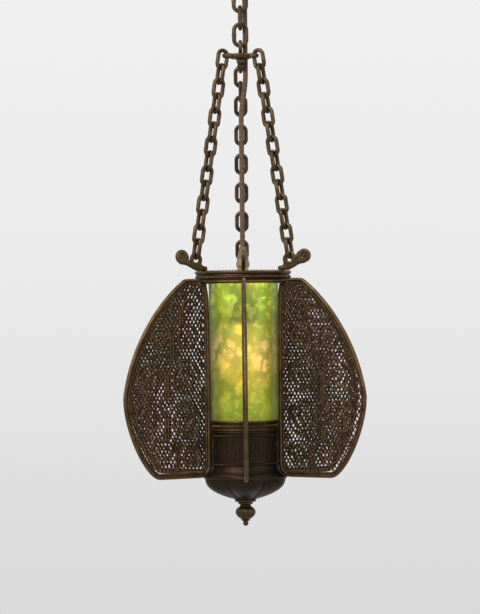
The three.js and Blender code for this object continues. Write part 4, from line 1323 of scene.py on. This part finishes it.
class LANTERN_OT_base(bpy.types.Operator):
    """Base ring, bowl, rosette and finial"""
    bl_idname = "lantern.base"
    bl_label = "Base"

    def execute(self, context):
        repaint("steel", "base_stud")
        piece(seat_ring(), "glass_seat", "bronze", "lantern", "base_ring")
        # The bowl takes the bronze darkened as painted shadow of the fins above it.
        piece(ribbed_bowl(), "scalloped_bowl", "painted_shade", "lantern", "base_bowl")
        piece(rosette_flower(), "finial_rosette", "bronze", "lantern", "rosette")
        piece(fluted_finial(), "finial_drop", "bronze", "finial_knob", "finial")
        return {"FINISHED"}


# Lamp lead

def lead_route():
    """The lead's centre line, from the canopy past the chain and through the crown to the lamp."""
    leave, bend, long_bend = -42 * MM, 30 * MM, 60 * MM
    crown_bend = foot("hanger_nut") - 2 * MM
    points = [(LEAD_IN_CANOPY, -11.9 * MM), (LEAD_IN_CANOPY, leave)]
    points += bezier((LEAD_IN_CANOPY, leave), (LEAD_IN_CANOPY, leave - bend * 0.4),
                     (LEAD_BY_CHAIN, leave - bend * 0.6), (LEAD_BY_CHAIN, leave - bend),
                     steps=14)[1:]
    points += bezier((LEAD_BY_CHAIN, crown_bend), (LEAD_BY_CHAIN, crown_bend - long_bend * 0.4),
                     (0, crown_bend - long_bend * 0.6), (0, crown_bend - long_bend), steps=20)
    points.append((0, top("holder_cap") - 2 * MM))
    route, marks, _ = resampled([(side, side, z) for side, z in points], 1.6 * MM)
    return route, marks


def lead_tube(route, marks, first_z, last_z):
    """The stretch of the lead between two heights; its UV map runs round and along it."""
    keep = (route[:, 2] <= first_z + 1e-9) & (route[:, 2] >= last_z - 1e-9)
    line, run = route[keep], marks[keep]
    r, steps = sizes().lead / 2, 20
    along = unit(np.gradient(line, axis=0))
    side = unit(np.cross(along, np.array([1.0, -1.0, 0]) / math.sqrt(2)))
    other = np.cross(along, side)
    turns = np.linspace(0, TURN, steps, endpoint=False)
    corners = [tuple(c + r * (math.cos(t) * a + math.sin(t) * b))
               for c, a, b in zip(line, side, other) for t in turns]
    last = len(line) - 1
    faces = []
    for i in range(last):
        for k in range(steps):
            n = (k + 1) % steps
            faces.append((i * steps + k, i * steps + n, (i + 1) * steps + n, (i + 1) * steps + k))
    faces.append(tuple(range(steps - 1, -1, -1)))
    faces.append(tuple(last * steps + k for k in range(steps)))
    mesh = bpy.data.meshes.new("lead")
    mesh.from_pydata(corners, [], faces)
    uv = mesh.uv_layers.new(name="along")
    for face in mesh.polygons:
        columns = [mesh.loops[loop].vertex_index % steps for loop in face.loop_indices]
        for loop, column in zip(face.loop_indices, columns):
            row = mesh.loops[loop].vertex_index // steps
            if column == 0 and steps - 1 in columns:
                column = steps
            uv.data[loop].uv = (column / steps, run[row] / (TURN * r))
    return sealed(linked("lead", mesh), degrees=50)


class LANTERN_OT_lead(bpy.types.Operator):
    """Lamp lead, in stretches cut at the chain's joints; only the last is put on the lantern"""
    bl_idname = "lantern.lead"
    bl_label = "Lamp lead"

    def execute(self, context):
        route, marks = lead_route()
        heights = route[:, 2]
        pivots = {j["name"]: j["pos_m"][2] for j in frame["joints"] if "pos_m" in j}
        cuts = (
            ("root", "chain_top", "chain_swing_x", 12),
            ("chain_top", "chain_run", "chain_swing_y", 10),
            ("chain_run", "chain_end", "lantern_tilt_y", 10),
            ("chain_end", "lantern", "lantern_tilt_x", 7),
        )
        start = heights[0]
        for number, (upper, lower, joint, reach) in enumerate(cuts, 1):
            pivot, half = pivots[joint], reach * MM
            end = heights[np.abs(heights - (pivot - half)).argmin()]
            tube = lead_tube(route, marks, start, end)
            piece(tube, f"lead_stretch_{number}", "fabric", None, "lamp_lead")
            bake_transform(tube)
            start = end
        tube = lead_tube(route, marks, start, heights[-1])
        piece(tube, "lead_down_to_lamp", "fabric", "lantern", "lamp_lead")
        return {"FINISHED"}


# Stage

PIXEL = 1.2 * MM          # size of one pixel of the picture at the lantern's axis
PICTURE_TOP = -90 * MM    # height at the picture's upper edge
PICTURE_SIZE = (480, 614)
AXIS_PIXEL = 243.3        # where the axis crosses the picture's middle row
CAMERA_DISTANCE = 3.0
SENSOR = 36.0             # in millimetres
CAMERA_TURN = math.radians(-0.5)
CAMERA_ROLL = math.radians(-0.65)
FLOOR_Z = -6.0
WALL_Y = 6.0
WALL_SIZE = 40.0
FLOOR_SIZE = 400.0
WALL_TONES = (0.70, 0.87)
FLOOR_TONE = 0.86
FLOOR_GLOW = 0.72         # share of the floor that shines by itself and takes no shadow
AIR = (0.86, 0.87, 0.88, 1)
AIR_LIGHT, AIR_SEEN = 0.42, 0.95
LIGHT_AIM = (0, 0, -0.5)
LIGHTS = (                # name, place, width and height, power in watts
    ("key", (-1.0, -1.4, 0.75), (1.0, 1.0), 34),
    ("fill", (1.4, -1.3, 0.1), (1.4, 1.4), 8),
    ("rim", (0.3, 1.0, 0.5), (1.0, 0.6), 9),
)


def seen_rays(nodes):
    """1 for the rays that see the stage straight, through glass or in a reflection."""
    rays = nodes.add("LightPath").outputs
    seen = nodes.maths("MAXIMUM", rays["Is Camera Ray"], rays["Is Transmission Ray"])
    return nodes.maths("MAXIMUM", seen, rays["Is Glossy Ray"])


def plain_stage(name, low, high, low_z, high_z, glow=1.0):
    """A pale matt surface, seen shaded from low_z up to high_z, with shadows if glow is under 1."""
    m = new_material(name)
    stops = ((0.0, 0.0), (0.14, 0.12), (0.46, 0.61), (0.65, 0.80), (1.0, 1.0))
    tint = m.ramp(m.climb(low_z, high_z), *((at, low + (high - low) * part) for at, part in stops))
    seen = m.add("Emission", {"Color": tint})
    m.set(Base_Color=(0.78, 0.78, 0.78, 1), Roughness=0.9)
    shown = m.maths("MULTIPLY", seen_rays(m), glow)
    blend = m.add("MixShader", {0: shown, 1: m.shader.outputs[0], 2: seen.outputs[0]})
    m.plug(m.tree.nodes["Material Output"].inputs["Surface"], blend.outputs[0])
    return m.owner


def square(name, size, place, paint):
    """A large level square of the stage."""
    bpy.ops.mesh.primitive_plane_add(size=size, location=place)
    obj = bpy.context.object
    obj.name = name
    obj.data.materials.append(paint)
    return obj


class LANTERN_OT_stage(bpy.types.Operator):
    """Floor, backdrop, lights, world and camera"""
    bl_idname = "lantern.stage"
    bl_label = "Stage"

    def execute(self, context):
        scene = context.scene
        scene.view_settings.view_transform = "Standard"
        width, tall = PICTURE_SIZE
        middle_z = PICTURE_TOP - tall / 2 * PIXEL
        look = Vector((-math.sin(CAMERA_TURN), math.cos(CAMERA_TURN), 0))
        right = Vector((math.cos(CAMERA_TURN), math.sin(CAMERA_TURN), 0))
        data = bpy.data.cameras.new("camera")
        data.sensor_width = SENSOR
        data.lens = SENSOR * CAMERA_DISTANCE / (tall * PIXEL)
        camera = linked("camera", data)
        shift = right * ((width / 2 - AXIS_PIXEL) * PIXEL)
        camera.location = Vector((0, 0, middle_z)) + shift - look * CAMERA_DISTANCE
        turn = look.to_track_quat("-Z", "Y").to_matrix()
        camera.rotation_euler = (turn @ Matrix.Rotation(CAMERA_ROLL, 3, "Z")).to_euler()
        scene.camera = camera

        clear_selection()
        floor = square("floor", FLOOR_SIZE, (0, 0, FLOOR_Z),
                       plain_stage("pale_floor", FLOOR_TONE, FLOOR_TONE, FLOOR_Z, 0, FLOOR_GLOW))
        half = tall / 2 * PIXEL * ((CAMERA_DISTANCE + WALL_Y) / CAMERA_DISTANCE)
        wall = square("backdrop", WALL_SIZE, (0, 0, 0),
                      plain_stage("pale_wall", *WALL_TONES, middle_z - half, middle_z + half))
        wall.data.transform(Matrix.Translation((0, WALL_Y, FLOOR_Z + WALL_SIZE / 2))
                            @ Matrix.Rotation(math.pi / 2, 4, "X"))

        world = Nodes(bpy.data.worlds.new("studio"))
        scene.world = world.owner
        strength = {"Value": seen_rays(world), "To Min": AIR_LIGHT, "To Max": AIR_SEEN}
        backdrop = world.tree.nodes["Background"].inputs
        world.plug(backdrop["Color"], AIR)
        world.plug(backdrop["Strength"], world.add("MapRange", strength).outputs["Result"])

        for name, place, size, power in LIGHTS:
            data = bpy.data.lights.new(name, "AREA")
            data.shape = "RECTANGLE"
            data.size, data.size_y = size
            data.energy = power
            lamp = linked(name, data)
            lamp.location = place
            aim = Vector(LIGHT_AIM) - Vector(place)
            lamp.rotation_euler = aim.to_track_quat("-Z", "Y").to_euler()
        return {"FINISHED"}


OPERATORS = (
    LANTERN_OT_stage, LANTERN_OT_lead, LANTERN_OT_canopy, LANTERN_OT_main_chain, LANTERN_OT_crown,
    LANTERN_OT_side_chains, LANTERN_OT_horns, LANTERN_OT_collar, LANTERN_OT_fins,
    LANTERN_OT_glass, LANTERN_OT_lamp, LANTERN_OT_base,
)


class LANTERN_PT_panel(bpy.types.Panel):
    """Sizes, colours and pieces of the lantern"""
    bl_idname = "LANTERN_PT_panel"
    bl_label = "Lantern"
    bl_space_type = "VIEW_3D"
    bl_region_type = "UI"
    bl_category = "Lantern"

    def draw(self, context):
        for group in (context.scene.lantern_sizes, context.scene.lantern_colours):
            box = self.layout.box()
            for name in group.__annotations__:
                box.prop(group, name)
        for operator in OPERATORS:
            self.layout.operator(operator.bl_idname)


CLASSES = (LanternSizes, LanternColours, *OPERATORS, LANTERN_PT_panel)


def register():
    """Adds the classes and the settings to Blender."""
    for cls in CLASSES:
        bpy.utils.register_class(cls)
    bpy.types.Scene.lantern_sizes = bpy.props.PointerProperty(type=LanternSizes)
    bpy.types.Scene.lantern_colours = bpy.props.PointerProperty(type=LanternColours)


def unregister():
    """Takes them out again."""
    del bpy.types.Scene.lantern_colours
    del bpy.types.Scene.lantern_sizes
    for cls in reversed(CLASSES):
        bpy.utils.unregister_class(cls)


def main():
    """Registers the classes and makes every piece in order."""
    register()
    for operator in OPERATORS:
        _, name = operator.bl_idname.split(".")
        getattr(bpy.ops.lantern, name)()


if __name__ == "__main__":
    main()
